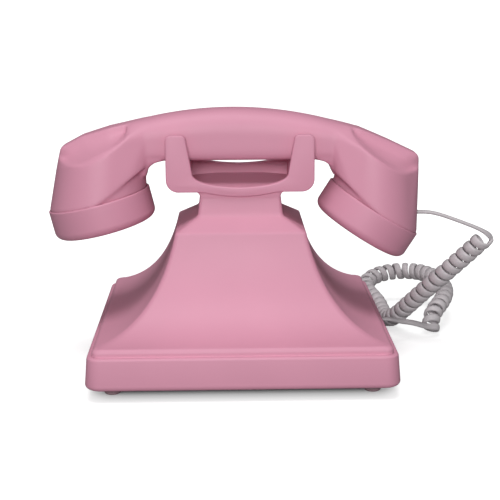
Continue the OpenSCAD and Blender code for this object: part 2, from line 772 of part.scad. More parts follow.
// A slab of the handle's section at x: flat below, rounded above
module handle_slab(x, half_w) {
    mid = (back_z(x) + handle_z) / 2;
    half_h = (back_z(x) - handle_z) / 2;
    translate([x, 0, mid]) rotate([90, 0, 90]) linear_extrude(height = 0.3, center = true)
        polygon([for (i = [0:section_steps - 1]) let (a = 360 * i / section_steps, c = cos(a), s = sin(a),
            e = s < 0 ? [0.32, 0.32] : [0.75, 0.85])
            [half_w * sign(c) * pow(abs(c), e[0]), half_h * sign(s) * pow(abs(s), e[1])]]);
}

// A short round bar across the handset, for the ridge over a bell
module ridge_bar(x, z, half_w) {
    translate([x, 0, z - ridge_r]) rotate([90, 0, 0])
        cylinder(r = ridge_r, h = 2 * half_w, center = true, $fn = 24);
}

module ear_bell() {
    hull() {
        handle_slab(bell_x, handle_w - 0.5);
        on_ear() cylinder(r = bell_r, h = 1.5);
        translate([88.3, 0, 136.2]) rotate([0, 25, 0]) scale([1.12, 1, 1])
            cylinder(r = 27, h = 0.5, center = true);
        ridge_bar(80, 150.4, 10);
        ridge_bar(97, 145.2, 7);
        ridge_bar(108.6, 139.1, 6);
    }
}

module mouth_bell() {
    hull() {
        handle_slab(-bell_x, handle_w - 0.5);
        on_mouth() cylinder(r = bell_r, h = 1.5);
        translate([-86, 0, 130.6]) rotate([0, -33, 0]) scale([1.1, 1, 1])
            cylinder(r = 27, h = 0.5, center = true);
        ridge_bar(-74, 148.6, 10);
        ridge_bar(-92, 140.9, 7);
        ridge_bar(-109, 132.8, 6);
    }
}

// The room for a capsule and its wires, up from inside the collar
module cup() {
    translate([0, 0, -10]) cylinder(r = collar_r - 2, h = 10.3);
    cylinder(r = cup_r, h = cup_depth);
}

module handset_shell() {
    slabs = [-bell_x, -48, -36, -24, -12, 0, 12, 24, 36, 48, bell_x];
    color(pink) placed()
    difference() {
        union() {
            for (i = [0:len(slabs) - 2]) hull() {
                handle_slab(slabs[i], handle_w);
                handle_slab(slabs[i + 1], handle_w);
            }
            ear_bell();
            mouth_bell();
            on_ear() translate([0, 0, -8]) cylinder(r = collar_r, h = 9);
            on_mouth() translate([0, 0, -8]) cylinder(r = collar_r, h = 9);
        }
        on_ear() cup();
        on_mouth() cup();
        translate([-79, 0, duct_z]) rotate([0, 90, 0]) cylinder(r = duct_r, h = 160, $fn = 24);
        translate([79, 0, duct_z]) rotate([0, 165, 0]) cylinder(r = duct_r, h = 32, $fn = 24);
        translate([-79, 0, duct_z]) rotate([0, 180, 0]) cylinder(r = duct_r, h = 36, $fn = 24);
        translate([-118, -6.2, handset_exit[2] - 5]) cube([17, 12.4, 10.3]);
    }
}

// A cap hangs down its own -Z from the seam; holes are rings of [count, radius]
module cap(hole_rings) {
    difference() {
        rotate_extrude($fn = 72) polygon(concat(
            [[0, -cap_h - 0.8], [14, -cap_h - 0.6], [cap_r - 5.5, -cap_h]],
            arc_points(cap_r - 5, -cap_h + 5.4, 5, -80, 0, 5),
            [[cap_r, -0.9], [cap_r - 0.9, 0], [collar_r + 0.15, 0], [collar_r + 0.15, -8.6],
            [cap_r - cap_wall, -8.8], [cap_r - cap_wall, -14.5], [cap_r - 6.5, -16.6], [0, -16.8]]));
        for (ring = hole_rings, i = [0:ring[0] - 1]) rotate(360 * i / ring[0])
            translate([ring[1], 0, -cap_h - 2]) cylinder(r = 1.3, h = 5, $fn = 16);
    }
}

module ear_cap() { color(deep_pink) placed() on_ear() cap([[1, 0], [6, 7]]); }

module mouth_cap() { color(deep_pink) placed() on_mouth() cap([[1, 0], [6, 6], [12, 12]]); }

module capsule() {
    translate([0, 0, -13]) cylinder(r = 27.6, h = 9);
    translate([0, 0, -4]) cylinder(r = 22, h = 3.5);
}

module receiver_capsule() { color(steel) placed() on_ear() capsule(); }

module transmitter_capsule() { color(black) placed() on_mouth() capsule(); }

module handset_jack() {
    color(black) placed() translate([-112.8, 0, handset_exit[2]]) difference() {
        translate([0, -6, -5]) cube([10.8, 12, 10]);
        translate([-1, -socket[1] / 2, -socket[2] / 2]) cube([10.5, socket[1], socket[2]]);
    }
}

module handset_plug() {
    color(cord_grey) placed() translate([handset_exit[0], -plug[1] / 2, handset_exit[2] - socket[2] / 2]) cube(plug);
}

// ---------- cord ----------

coil_line = smooth_route(coil_route, route_steps);
coil_length = running_length(coil_line)[len(coil_line) - 1];
curls = round(coil_length / curl_pitch);
// The last curl stops where the cord passes over it towards the base
axis_points = even_points(coil_line, (curls - 0.5) * curl_rings);
axis_dirs = directions(axis_points);
axis_sides = carried(axis_dirs, [-1, 0, 0]);
curl_phase = 20;
curl_outward = [for (i = [0:len(axis_points) - 1]) let (
        a = curl_phase + 360 * i / curl_rings, w = cross(axis_dirs[i], axis_sides[i]))
    cos(a) * axis_sides[i] + sin(a) * w];
curl_points = [for (i = [0:len(axis_points) - 1]) axis_points[i] + curl_r * curl_outward[i]];
curl_last = len(curl_points) - 1;
curl_end = curl_points[curl_last];
curl_end_dir = unit(curl_end - curl_points[curl_last - 1]);
curl_start = curl_points[0];
curl_start_dir = unit(curl_points[1] - curl_start);

// The least distance between the cord's surface on one curl and on another
function least_gap(p, skip) = min([for (i = [0:len(p) - 1]) for (j = [i + skip:min(i + skip + 8, len(p) - 1)])
    if (j < len(p)) norm(p[i] - p[j])]) - cord_w;
echo(curls = curls, coil_length = coil_length, curl_gap = least_gap(curl_points, 5));
echo(curl_start = curl_start, curl_start_dir = curl_start_dir);
echo(curl_end = curl_end, curl_end_dir = curl_end_dir);

module cord_coil() {
    color(cord_grey) placed() strip(curl_points, curl_outward);
}

module cord_handset_lead() {
    route = smooth_route(concat(lead_route, [curl_start - 4 * curl_start_dir, curl_start - 0.05 * curl_start_dir]), 2);
    color(cord_grey) placed() strip(route, turned(directions(route), [0, 0, 1], curl_outward[0]));
}

module cord_base_lead() {
    route = smooth_route(concat([curl_end + 0.05 * curl_end_dir, curl_end + 4 * curl_end_dir], base_lead_end), 3);
    color(cord_grey) placed() strip(route, turned(directions(route), curl_outward[curl_last], [0, 0, 1]));
}

body_shell();
bottom_plate();
base_screws();
feet();
ballast_weight();
dial_housing();
dial_base_plate();
number_plate();
finger_wheel();
dial_centre_cap();
finger_stop();
dial_shaft();
main_gear();
impulse_pinion();
return_spring();
impulse_contacts();
cradle();
hook_plungers();
plunger_springs();
hook_contacts();
cradle_screws();
circuit_board();
board_parts();
ringer_frame();
ringer_coils();
gong_left();
gong_right();
gong_screws();
clapper();
clapper_pin();
volume_slider();
volume_switch();
base_jack();
base_plug();
line_jack();
handset_shell();
ear_cap();
mouth_cap();
receiver_capsule();
transmitter_capsule();
handset_jack();
handset_plug();
cord_handset_lead();
cord_coil();
cord_base_lead();
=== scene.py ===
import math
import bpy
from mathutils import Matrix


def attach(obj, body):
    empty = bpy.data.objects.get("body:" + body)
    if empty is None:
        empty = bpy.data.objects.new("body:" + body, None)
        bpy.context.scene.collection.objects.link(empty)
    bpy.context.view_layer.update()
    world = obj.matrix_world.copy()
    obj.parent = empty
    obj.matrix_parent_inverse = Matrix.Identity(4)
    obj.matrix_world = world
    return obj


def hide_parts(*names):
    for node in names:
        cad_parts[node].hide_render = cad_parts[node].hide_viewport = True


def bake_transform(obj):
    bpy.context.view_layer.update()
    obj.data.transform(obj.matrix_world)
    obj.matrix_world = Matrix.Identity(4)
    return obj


bl_info = {
    "name": "Desk telephone",
    "version": (1, 0, 0),
    "blender": (4, 5, 0),
    "location": "View3D > Sidebar > Telephone",
    "description": "Dresses the desk telephone with its plastic, works and curly cord",
    "category": "Object",
}

import bmesh
import bpy
import numpy as np
from mathutils import Matrix, Vector

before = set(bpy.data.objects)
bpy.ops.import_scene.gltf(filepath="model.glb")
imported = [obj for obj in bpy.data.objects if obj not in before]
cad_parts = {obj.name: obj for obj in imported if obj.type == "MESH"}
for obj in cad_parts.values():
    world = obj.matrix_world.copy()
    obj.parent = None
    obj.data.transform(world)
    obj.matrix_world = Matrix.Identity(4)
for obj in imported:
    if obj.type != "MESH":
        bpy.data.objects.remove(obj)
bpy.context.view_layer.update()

MM = 0.001
ROW_X = -4.0          # the base's middle in the row's frame, mm

# Base, in mm, with x = 0 at the base's middle
HALF_X, HALF_Y = 92.4, 95.0
SKIRT_Z0, SKIRT_Z1 = 6.8, 26.5
FLARE, PLINTH_IN, PLINTH_H, PLINTH_ROUND, FOOT_IN = 1.2, 3.2, 4.6, 3.0, 3.0
FOOT_ROUND, EDGE_ROUND = 3.2, 1.6
LEDGE_X, LEDGE_Y, LEDGE_Z = 40.1, 38.0, 88.3
PULL_X, PULL_Y, PULL_Z = 11.5, 10.1, 36.6
NECK_X, NECK_Y, NECK_FOOT, NECK_Z0, NECK_Z1 = 25.3, 22.8, 1.2, 96.4, 107.5
WALL = 2.6
JACK_YS = (-15.0, 45.0)

# Dial
DIAL_Y, DIAL_Z, DIAL_LEAN = -62.9, 60.65, math.atan2(55.3, 49.8)
DIAL_R = 34.0

# Handset
HANDLE_Z, HANDSET_TOP, BACK_R, HANDLE_W = 129.5, 161.5, 236.0, 17.5
FILLET_X, FILLET_Z, FILLET_R = 48.5, 119.6, 9.9
EAR_SEAM, EAR_TILT = (89.4, 104.2), 13.8
MOUTH_SEAM, MOUTH_TILT = (-85.4, 97.4), -32.5
BELL_R, BELL_X = 31.7, 57.6
CAP_R, CAP_H = 32.8, 19.0
HANDSET_EXIT = (-114.8, 0.0, 93.5)
LOW_CORNER, TOP_CORNER = (0.32, 0.32), (0.75, 0.85)    # exponents of the handle's section

# Cord
CURL_R, CURL_PITCH = 5.05, 6.6
LEAD_ROUTE = [
    (-111.6, 0, 93.5), (-115.2, 0, 93.5), (-119, 0, 93.5), (-124.3, 0, 92.8), (-130.5, 0, 91),
    (-136.7, 0, 88.7), (-145, 0, 85.6), (-153.4, 0, 82.2), (-158, -0.3, 79.6), (-161.2, -1.6, 77),
    (-163, -3.2, 74.4)]
COIL_ROUTE = [
    (-156, 1, 75), (-144.5, -7, 61), (-133, -15, 47.5), (-121.5, -25.5, 33), (-111.5, -38, 18.5),
    (-105, -54, 6.4), (-101.5, -72, 5.8), (-100.6, -89, 11), (-93.5, -107, 14.3), (-94.3, -118, 18),
    (-102.8, -127, 21.1), (-114.6, -131, 22.8), (-125.8, -130, 23.6), (-135.3, -123, 24.4),
    (-142.9, -110, 24.4), (-147.3, -92, 23.2), (-147.1, -74, 21.1), (-141.9, -60, 18.2),
    (-135.7, -50, 15.5), (-131.7, -44, 11.2), (-130.7, -38.5, 3.9)]
BASE_LEAD_END = [
    (-116.2, -28, 12.3), (-107.3, -23, 14.2), (-101.5, -17.5, 17.2), (-97.5, -15, 18.5),
    (-92.5, -15, 18.5)]


# ---------- sizes and colours that a user would change ----------

def colour_prop(name, text, value):
    return bpy.props.FloatVectorProperty(
        name=name, description=text, subtype="COLOR", size=3, min=0, max=1, default=value)


class PhoneColours(bpy.types.PropertyGroup):
    pink: colour_prop(
        "Pink", "Moulded plastic of the body, cradle and handset", (0.700, 0.310, 0.425))
    cord: colour_prop("Cord", "Soft vinyl of the curly cord", (0.600, 0.560, 0.580))
    feet: colour_prop("Feet", "Rubber of the feet", (0.460, 0.290, 0.330))
    ivory: colour_prop("Ivory", "Number plate and dial centre", (0.850, 0.820, 0.740))
    ink: colour_prop("Ink", "Printed dial numbers", (0.030, 0.028, 0.032))


class PhoneSurface(bpy.types.PropertyGroup):
    roughness: bpy.props.FloatProperty(
        name="Roughness", description="Satin of the pink plastic", default=0.55, min=0.05, max=1)
    grain: bpy.props.FloatProperty(
        name="Grain", description="Depth of the plastic's fine grain", default=0.00003,
        min=0, max=0.001, unit="LENGTH")
    edge: bpy.props.FloatProperty(
        name="Edge rounding", description="Rounding of the cradle's edges", default=0.0009,
        min=0.0003, max=0.0015, unit="LENGTH")


class PhoneCord(bpy.types.PropertyGroup):
    width: bpy.props.FloatProperty(
        name="Width", description="Width of the flat-sided cord along the coil", default=0.0058,
        min=0.004, max=0.006, unit="LENGTH")
    thickness: bpy.props.FloatProperty(
        name="Thickness", description="Thickness of the cord across the coil", default=0.0024,
        min=0.0020, max=0.0029, unit="LENGTH")
    rings: bpy.props.IntProperty(
        name="Rings", description="Rings in each curl", default=16, min=12, max=32)


class PhoneStage(bpy.types.PropertyGroup):
    key: bpy.props.FloatProperty(
        name="Key light", description="Power of the low light beside the camera", default=15.5,
        min=0, unit="POWER")
    fill: bpy.props.FloatProperty(
        name="Overhead light", description="Power of the large light overhead", default=13.0, min=0,
        unit="POWER")
    sky: bpy.props.FloatProperty(
        name="Surround", description="Brightness of the surround", default=0.15, min=0, max=1)


# ---------- shared helpers ----------

def settings():
    return bpy.context.scene


def link(obj):
    bpy.context.scene.collection.objects.link(obj)
    return obj


def finish_mesh(mesh, sharp=35):
    """Smooth shading that keeps the edges sharper than the given angle."""
    mesh.shade_smooth()
    mesh.set_sharp_from_angle(angle=math.radians(sharp))


def new_mesh(name, points, faces):
    mesh = bpy.data.meshes.new(name)
    mesh.from_pydata([tuple(p) for p in points], [], [tuple(f) for f in faces])
    return mesh


def clean_mesh(mesh, distance):
    """Merges doubled points and turns every face outwards."""
    bm = bmesh.new()
    bm.from_mesh(mesh)
    bmesh.ops.remove_doubles(bm, verts=bm.verts, dist=distance)
    bmesh.ops.recalc_face_normals(bm, faces=bm.faces)
    bm.to_mesh(mesh)
    bm.free()


def mesh_object(name, points, faces, material=None, place=None, sharp=35):
    """A piece from points in mm; place is a 4x4 in mm, and the row's shift comes last."""
    mesh = new_mesh(name, points, faces)
    mesh.validate()
    return place_piece(name, mesh, material, place, sharp)


def place_piece(name, mesh, material=None, place=None, sharp=35):
    if place is not None:
        mesh.transform(place)
    mesh.transform(Matrix.Scale(MM, 4) @ Matrix.Translation((ROW_X, 0, 0)))
    clean_mesh(mesh, 1e-6)
    finish_mesh(mesh, sharp)
    mesh.materials.clear()
    if material is not None:
        mesh.materials.append(material)
    mesh.name = name
    return link(bpy.data.objects.new(name, mesh))


def baked(obj):
    """The object's evaluated mesh, with its modifiers removed."""
    bpy.context.view_layer.update()
    graph = bpy.context.evaluated_depsgraph_get()
    mesh = bpy.data.meshes.new_from_object(obj.evaluated_get(graph))
    obj.modifiers.clear()
    return mesh


def keep_baked(obj):
    """Bakes the object's modifiers into its mesh."""
    mesh, old = baked(obj), obj.data
    obj.data = mesh
    bpy.data.meshes.remove(old)


def dress(piece, node, body):
    """What the piece stands for, which body it rides and what it's made of."""
    if node:
        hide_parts(node)
    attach(piece, body)


def raw_object(name, points, faces):
    """A working object in mm, not yet a piece."""
    mesh = new_mesh(name, points, faces)
    clean_mesh(mesh, 1e-4)
    return link(bpy.data.objects.new(name, mesh))


def raw_box(name, lo, hi):
    (x0, y0, z0), (x1, y1, z1) = lo, hi
    points = [(x0, y0, z0), (x1, y0, z0), (x1, y1, z0), (x0, y1, z0),
              (x0, y0, z1), (x1, y0, z1), (x1, y1, z1), (x0, y1, z1)]
    faces = [(3, 2, 1, 0), (4, 5, 6, 7), (0, 1, 5, 4), (1, 2, 6, 5), (2, 3, 7, 6), (3, 0, 4, 7)]
    return raw_object(name, points, faces)


def rod(r, z0, z1, steps=96):
    return lathe([(0, z0), (r, z0), (r, z1), (0, z1)], steps)


def combine(base, others, operation):
    """base with each of the others joined to it or cut from it; the others are removed."""
    for other in others:
        mod = base.modifiers.new("combine", "BOOLEAN")
        mod.operation = operation
        mod.solver = "MANIFOLD"
        mod.object = other
        keep_baked(base)
        bpy.data.objects.remove(other)


def to_piece(obj, name, material, place=None, sharp=35):
    mesh = obj.data.copy()
    bpy.data.objects.remove(obj)
    return place_piece(name, mesh, material, place, sharp)


def loft(rings, closed_ends=True, loop=False):
    """Faces between rings of equal length, round each ring."""
    rings = [np.asarray(r, float) for r in rings]
    n = len(rings[0])
    points = np.concatenate(rings)
    faces = []
    count = len(rings) if loop else len(rings) - 1
    for i in range(count):
        j = (i + 1) % len(rings)
        for k in range(n):
            m = (k + 1) % n
            faces.append((i * n + k, i * n + m, j * n + m, j * n + k))
    if closed_ends and not loop:
        faces.append(tuple(range(n - 1, -1, -1)))
        faces.append(tuple((len(rings) - 1) * n + k for k in range(n)))
    return points, faces


def lathe(profile, steps=96):
    """A closed turned shape from (radius, height) points; radius 0 points become poles."""
    points, faces, rows = [], [], []
    for r, z in profile:
        if r < 1e-6:
            rows.append([len(points)])
            points.append((0.0, 0.0, z))
        else:
            rows.append(list(range(len(points), len(points) + steps)))
            turns = (2 * math.pi * k / steps for k in range(steps))
            points += [(r * math.cos(a), r * math.sin(a), z) for a in turns]
    pairs = list(zip(rows, rows[1:]))
    if len(rows[0]) > 1 or len(rows[-1]) > 1:
        pairs.append((rows[-1], rows[0]))
    for a, b in pairs:
        for k in range(steps):
            m = (k + 1) % steps
            if len(a) == 1 and len(b) == 1:
                continue
            if len(a) == 1:
                faces.append((a[0], b[m], b[k]))
            elif len(b) == 1:
                faces.append((a[k], a[m], b[0]))
            else:
                faces.append((a[k], a[m], b[m], b[k]))
    return points, faces


def arc(cx, cy, r, a0, a1, n):
    return [(cx + r * math.cos(math.radians(a0 + (a1 - a0) * i / n)),
             cy + r * math.sin(math.radians(a0 + (a1 - a0) * i / n))) for i in range(n + 1)]


def quad_curve(a, c, b, n):
    a, c, b = (np.asarray(v, float) for v in (a, c, b))
    return [(1 - t) ** 2 * a + 2 * t * (1 - t) * c + t * t * b for t in np.linspace(0, 1, n + 1)]


def rounded(points, cuts, steps=5):
    """The polyline with some corners rounded; cuts[i] is how far from point i the curve starts."""
    points = [np.asarray(p, float) for p in points]
    out = []
    for i, p in enumerate(points):
        cut = cuts.get(i, 0)
        if not cut or i in (0, len(points) - 1):
            out.append(p)
            continue
        before, after = points[i - 1] - p, points[i + 1] - p
        a = p + before * min(cut / np.linalg.norm(before[:3]), 0.5)
        b = p + after * min(cut / np.linalg.norm(after[:3]), 0.5)
        out += quad_curve(a, p, b, steps)
    return out


def rounded_rect(hx, hy, r, steps=10):
    out = []
    for sx, sy, a in ((1, 1, 0), (-1, 1, 90), (-1, -1, 180), (1, -1, 270)):
        out += arc(sx * (hx - r), sy * (hy - r), r, a, a + 90, steps)
    return out


def inset_outline(outline, distance):
    """The closed outline moved inwards by the distance, corner by corner."""
    p = np.asarray(outline, float)
    before, after = p - np.roll(p, 1, axis=0), np.roll(p, -1, axis=0) - p
    unit = lambda v: v / np.maximum(np.linalg.norm(v, axis=1, keepdims=True), 1e-9)
    n1 = unit(np.stack([-before[:, 1], before[:, 0]], axis=1))
    n2 = unit(np.stack([-after[:, 1], after[:, 0]], axis=1))
    mid = unit(n1 + n2)
    stretch = 1 / np.maximum((mid * n1).sum(axis=1, keepdims=True), 0.5)
    area = (p[:, 0] * np.roll(p[:, 1], -1) - np.roll(p[:, 0], -1) * p[:, 1]).sum()
    return p + mid * stretch * distance * (1 if area > 0 else -1)


def slab(outline, y0, y1, edge, steps=4):
    """An upright plate with rounded edges from an outline in x and z, between two y values."""
    rings = []
    for i in range(steps + 1):
        a = math.pi / 2 * i / steps
        flat = inset_outline(outline, edge * (1 - math.sin(a)))
        rings.append([(x, y0 + edge * (1 - math.cos(a)), z) for x, z in flat])
    for i in range(steps, -1, -1):
        a = math.pi / 2 * i / steps
        flat = inset_outline(outline, edge * (1 - math.sin(a)))
        rings.append([(x, y1 - edge * (1 - math.cos(a)), z) for x, z in flat])
    return loft(rings)


def frame_at(x, y, z, turn_x=0.0, turn_y=0.0):
    return (Matrix.Translation((x, y, z)) @ Matrix.Rotation(turn_y, 4, "Y")
            @ Matrix.Rotation(turn_x, 4, "X"))


DIAL_PLACE = frame_at(0, DIAL_Y, DIAL_Z, turn_x=DIAL_LEAN)
EAR_PLACE = frame_at(EAR_SEAM[0], 0, EAR_SEAM[1], turn_y=math.radians(EAR_TILT))
MOUTH_PLACE = frame_at(MOUTH_SEAM[0], 0, MOUTH_SEAM[1], turn_y=math.radians(MOUTH_TILT))


# ---------- materials ----------

def new_material(name):
    mat = bpy.data.materials.new(name)
    mat.use_nodes = True
    tree = mat.node_tree
    return mat, tree, tree.nodes["Principled BSDF"]


def noise(tree, scale, detail=3.0, rough=0.5):
    coords = tree.nodes.new("ShaderNodeTexCoord")
    tex = tree.nodes.new("ShaderNodeTexNoise")
    tex.inputs["Scale"].default_value = scale
    tex.inputs["Detail"].default_value = detail
    tex.inputs["Roughness"].default_value = rough
    tree.links.new(coords.outputs["Object"], tex.inputs["Vector"])
    return tex


def ramp(tree, factor, stops):
    node = tree.nodes.new("ShaderNodeValToRGB")
    while len(node.color_ramp.elements) < len(stops):
        node.color_ramp.elements.new(0.5)
    for element, (pos, colour) in zip(node.color_ramp.elements, stops):
        element.position = pos
        element.color = tuple(colour) + (1.0,)
    tree.links.new(factor, node.inputs["Fac"])
    return node.outputs["Color"]


def spread(tree, factor, low, high):
    node = tree.nodes.new("ShaderNodeMapRange")
    node.inputs["To Min"].default_value = low
    node.inputs["To Max"].default_value = high
    tree.links.new(factor, node.inputs["Value"])
    return node.outputs["Result"]


def bump(tree, bsdf, height, distance):
    node = tree.nodes.new("ShaderNodeBump")
    node.inputs["Strength"].default_value = 1.0
    node.inputs["Distance"].default_value = distance
    tree.links.new(height, node.inputs["Height"])
    tree.links.new(node.outputs["Normal"], bsdf.inputs["Normal"])


def shade(colour, k):
    return tuple(min(max(c * k, 0.0), 1.0) for c in colour)


def colour_and_gloss(tree, bsdf, tone, stops, gloss, rough, change):
    """Colour from one noise, roughness about the given value from another."""
    tree.links.new(ramp(tree, tone.outputs["Fac"], stops), bsdf.inputs["Base Color"])
    tree.links.new(spread(tree, gloss.outputs["Fac"], rough - change, rough + change),
                   bsdf.inputs["Roughness"])


def plastic(name, colour, rough, grain, vary=0.03, scale=900.0):
    """Moulded plastic: a slow drift of colour, cloudy gloss and a fine grain."""
    mat, tree, bsdf = new_material(name)
    slow = noise(tree, 14.0, 2.0)
    fine = noise(tree, scale, 2.0)
    cloudy = noise(tree, 60.0, 4.0)
    stops = [(0.3, shade(colour, 1 - vary)), (0.7, shade(colour, 1 + vary))]
    colour_and_gloss(tree, bsdf, slow, stops, cloudy, rough, 0.05)
    bump(tree, bsdf, fine.outputs["Fac"], grain)
    return mat


def metal(name, colour, rough):
    """Rolled or plated metal with fine streaks and a little tarnish."""
    mat, tree, bsdf = new_material(name)
    streaks = noise(tree, 260.0, 4.0, 0.6)
    tarnish = noise(tree, 45.0, 3.0)
    stops = [(0.35, shade(colour, 0.86)), (0.65, shade(colour, 1.04))]
    colour_and_gloss(tree, bsdf, tarnish, stops, streaks, rough, 0.1)
    bsdf.inputs["Metallic"].default_value = 1.0
    bump(tree, bsdf, streaks.outputs["Fac"], 0.00002)
    return mat


def copper_winding(name, colour):
    """Enamelled wire wound side by side along the bobbin."""
    mat, tree, bsdf = new_material(name)
    coords = tree.nodes.new("ShaderNodeTexCoord")
    wave = tree.nodes.new("ShaderNodeTexWave")
    wave.bands_direction = "Y"
    wave.inputs["Scale"].default_value = 900.0
    tree.links.new(coords.outputs["Object"], wave.inputs["Vector"])
    # The low parts of the waves, where the bump sinks between the turns, are painted darker: painted
    # shade.
    tone = ramp(tree, wave.outputs["Fac"], [(0.1, shade(colour, 0.45)), (0.6, colour)])
    tree.links.new(tone, bsdf.inputs["Base Color"])
    bsdf.inputs["Metallic"].default_value = 0.6
    bsdf.inputs["Roughness"].default_value = 0.35
    bump(tree, bsdf, wave.outputs["Fac"], 0.0001)
    return mat


MATERIALS = {}


def make_materials():
    c, s = settings().phone_colours, settings().phone_surface
    pink = tuple(c.pink)
    MATERIALS.update(
        pink=plastic("pink_plastic", pink, s.roughness, s.grain),
        wheel=plastic("wheel_plastic", shade(pink, 0.93), s.roughness - 0.04, s.grain),
        cord=plastic("cord_vinyl", tuple(c.cord), 0.5, 0.00004, vary=0.05, scale=1400.0),
        plug=plastic("plug_plastic", shade(tuple(c.cord), 1.08), 0.3, 0.00002),
        rubber=plastic("foot_rubber", tuple(c.feet), 0.75, 0.00008, vary=0.08, scale=700.0),
        ivory=plastic("ivory_plastic", tuple(c.ivory), 0.38, 0.00002),
        ink=plastic("dial_ink", tuple(c.ink), 0.5, 0.00001),
        black=plastic("black_plastic", (0.022, 0.021, 0.023), 0.55, 0.00006, vary=0.1, scale=500.0),
        board=plastic("circuit_board", (0.02, 0.13, 0.05), 0.35, 0.00003, vary=0.15, scale=300.0),
        steel=metal("plated_steel", (0.56, 0.57, 0.60), 0.36),
        brass=metal("brass", (0.66, 0.44, 0.14), 0.30),
        copper=copper_winding("copper_winding", (0.62, 0.25, 0.11)),
    )


# ---------- geometry node trees ----------

def wire(tree, *links):
    """Links given as (node, output, node, input)."""
    for source, output, target, entry in links:
        tree.links.new(source.outputs[output], target.inputs[entry])


def node_tree(name, inputs):
    """An empty geometry tree with named inputs; returns the tree, its input and output nodes."""
    tree = bpy.data.node_groups.new(name, "GeometryNodeTree")
    tree.interface.new_socket(name="Geometry", in_out="INPUT", socket_type="NodeSocketGeometry")
    for label, kind, value in inputs:
        socket = tree.interface.new_socket(name=label, in_out="INPUT", socket_type=kind)
        socket.default_value = value
    tree.interface.new_socket(name="Material", in_out="INPUT", socket_type="NodeSocketMaterial")
    tree.interface.new_socket(name="Geometry", in_out="OUTPUT", socket_type="NodeSocketGeometry")
    return tree, tree.nodes.new("NodeGroupInput"), tree.nodes.new("NodeGroupOutput")


def end_tree(tree, source, entry, leave):
    """Realize Instances and Set Material close every tree."""
    real = tree.nodes.new("GeometryNodeRealizeInstances")
    paint = tree.nodes.new("GeometryNodeSetMaterial")
    tree.links.new(source, real.inputs["Geometry"])
    wire(tree, (real, "Geometry", paint, "Geometry"), (entry, "Material", paint, "Material"),
         (paint, "Geometry", leave, "Geometry"))


def corners_tree():
    """Copies of the geometry at the four corners of a rectangle."""
    tree, entry, leave = node_tree("four_corners", [
        ("Width", "NodeSocketFloat", 100.0), ("Depth", "NodeSocketFloat", 100.0)])
    grid = tree.nodes.new("GeometryNodeMeshGrid")
    grid.inputs["Vertices X"].default_value = 2
    grid.inputs["Vertices Y"].default_value = 2
    put = tree.nodes.new("GeometryNodeInstanceOnPoints")
    wire(tree, (entry, "Width", grid, "Size X"), (entry, "Depth", grid, "Size Y"),
         (grid, "Mesh", put, "Points"), (entry, "Geometry", put, "Instance"))
    end_tree(tree, put.outputs["Instances"], entry, leave)
    return tree


def holes_tree():
    """A ring of round holes cut through the geometry, along its own Z."""
    tree, entry, leave = node_tree("ring_of_holes", [
        ("Count", "NodeSocketInt", 6), ("Ring Radius", "NodeSocketFloat", 10.0),
        ("Hole Radius", "NodeSocketFloat", 1.0), ("Height", "NodeSocketFloat", 0.0),
        ("Depth", "NodeSocketFloat", 10.0), ("Sides", "NodeSocketInt", 24)])
    circle, lift, drill, put, real, cut = (tree.nodes.new("GeometryNode" + n) for n in (
        "MeshCircle", "Transform", "MeshCylinder", "InstanceOnPoints", "RealizeInstances",
        "MeshBoolean"))
    offset = tree.nodes.new("ShaderNodeCombineXYZ")
    cut.operation = "DIFFERENCE"
    cut.solver = "MANIFOLD"
    wire(tree, (entry, "Count", circle, "Vertices"), (entry, "Ring Radius", circle, "Radius"),
         (entry, "Height", offset, "Z"), (circle, "Mesh", lift, "Geometry"),
         (offset, "Vector", lift, "Translation"), (entry, "Sides", drill, "Vertices"),
         (entry, "Hole Radius", drill, "Radius"), (entry, "Depth", drill, "Depth"),
         (lift, "Geometry", put, "Points"), (drill, "Mesh", put, "Instance"),
         (put, "Instances", real, "Geometry"), (entry, "Geometry", cut, "Mesh 1"),
         (real, "Geometry", cut, "Mesh 2"))
    end_tree(tree, cut.outputs["Mesh"], entry, leave)
    return tree


TREES = {}


def use_tree(obj, kind, material, **values):
    """Runs one of the trees on the object and keeps the result as its mesh."""
    if kind not in TREES:
        TREES[kind] = {"four_corners": corners_tree, "ring_of_holes": holes_tree}[kind]()
    tree = TREES[kind]
    mod = obj.modifiers.new(kind, "NODES")
    mod.node_group = tree
    sockets = {s.name: s.identifier for s in tree.interface.items_tree
               if s.in_out == "INPUT"}
    for label, value in values.items():
        mod[sockets[label.replace("_", " ")]] = value
    mod[sockets["Material"]] = material
    keep_baked(obj)


# ---------- body ----------

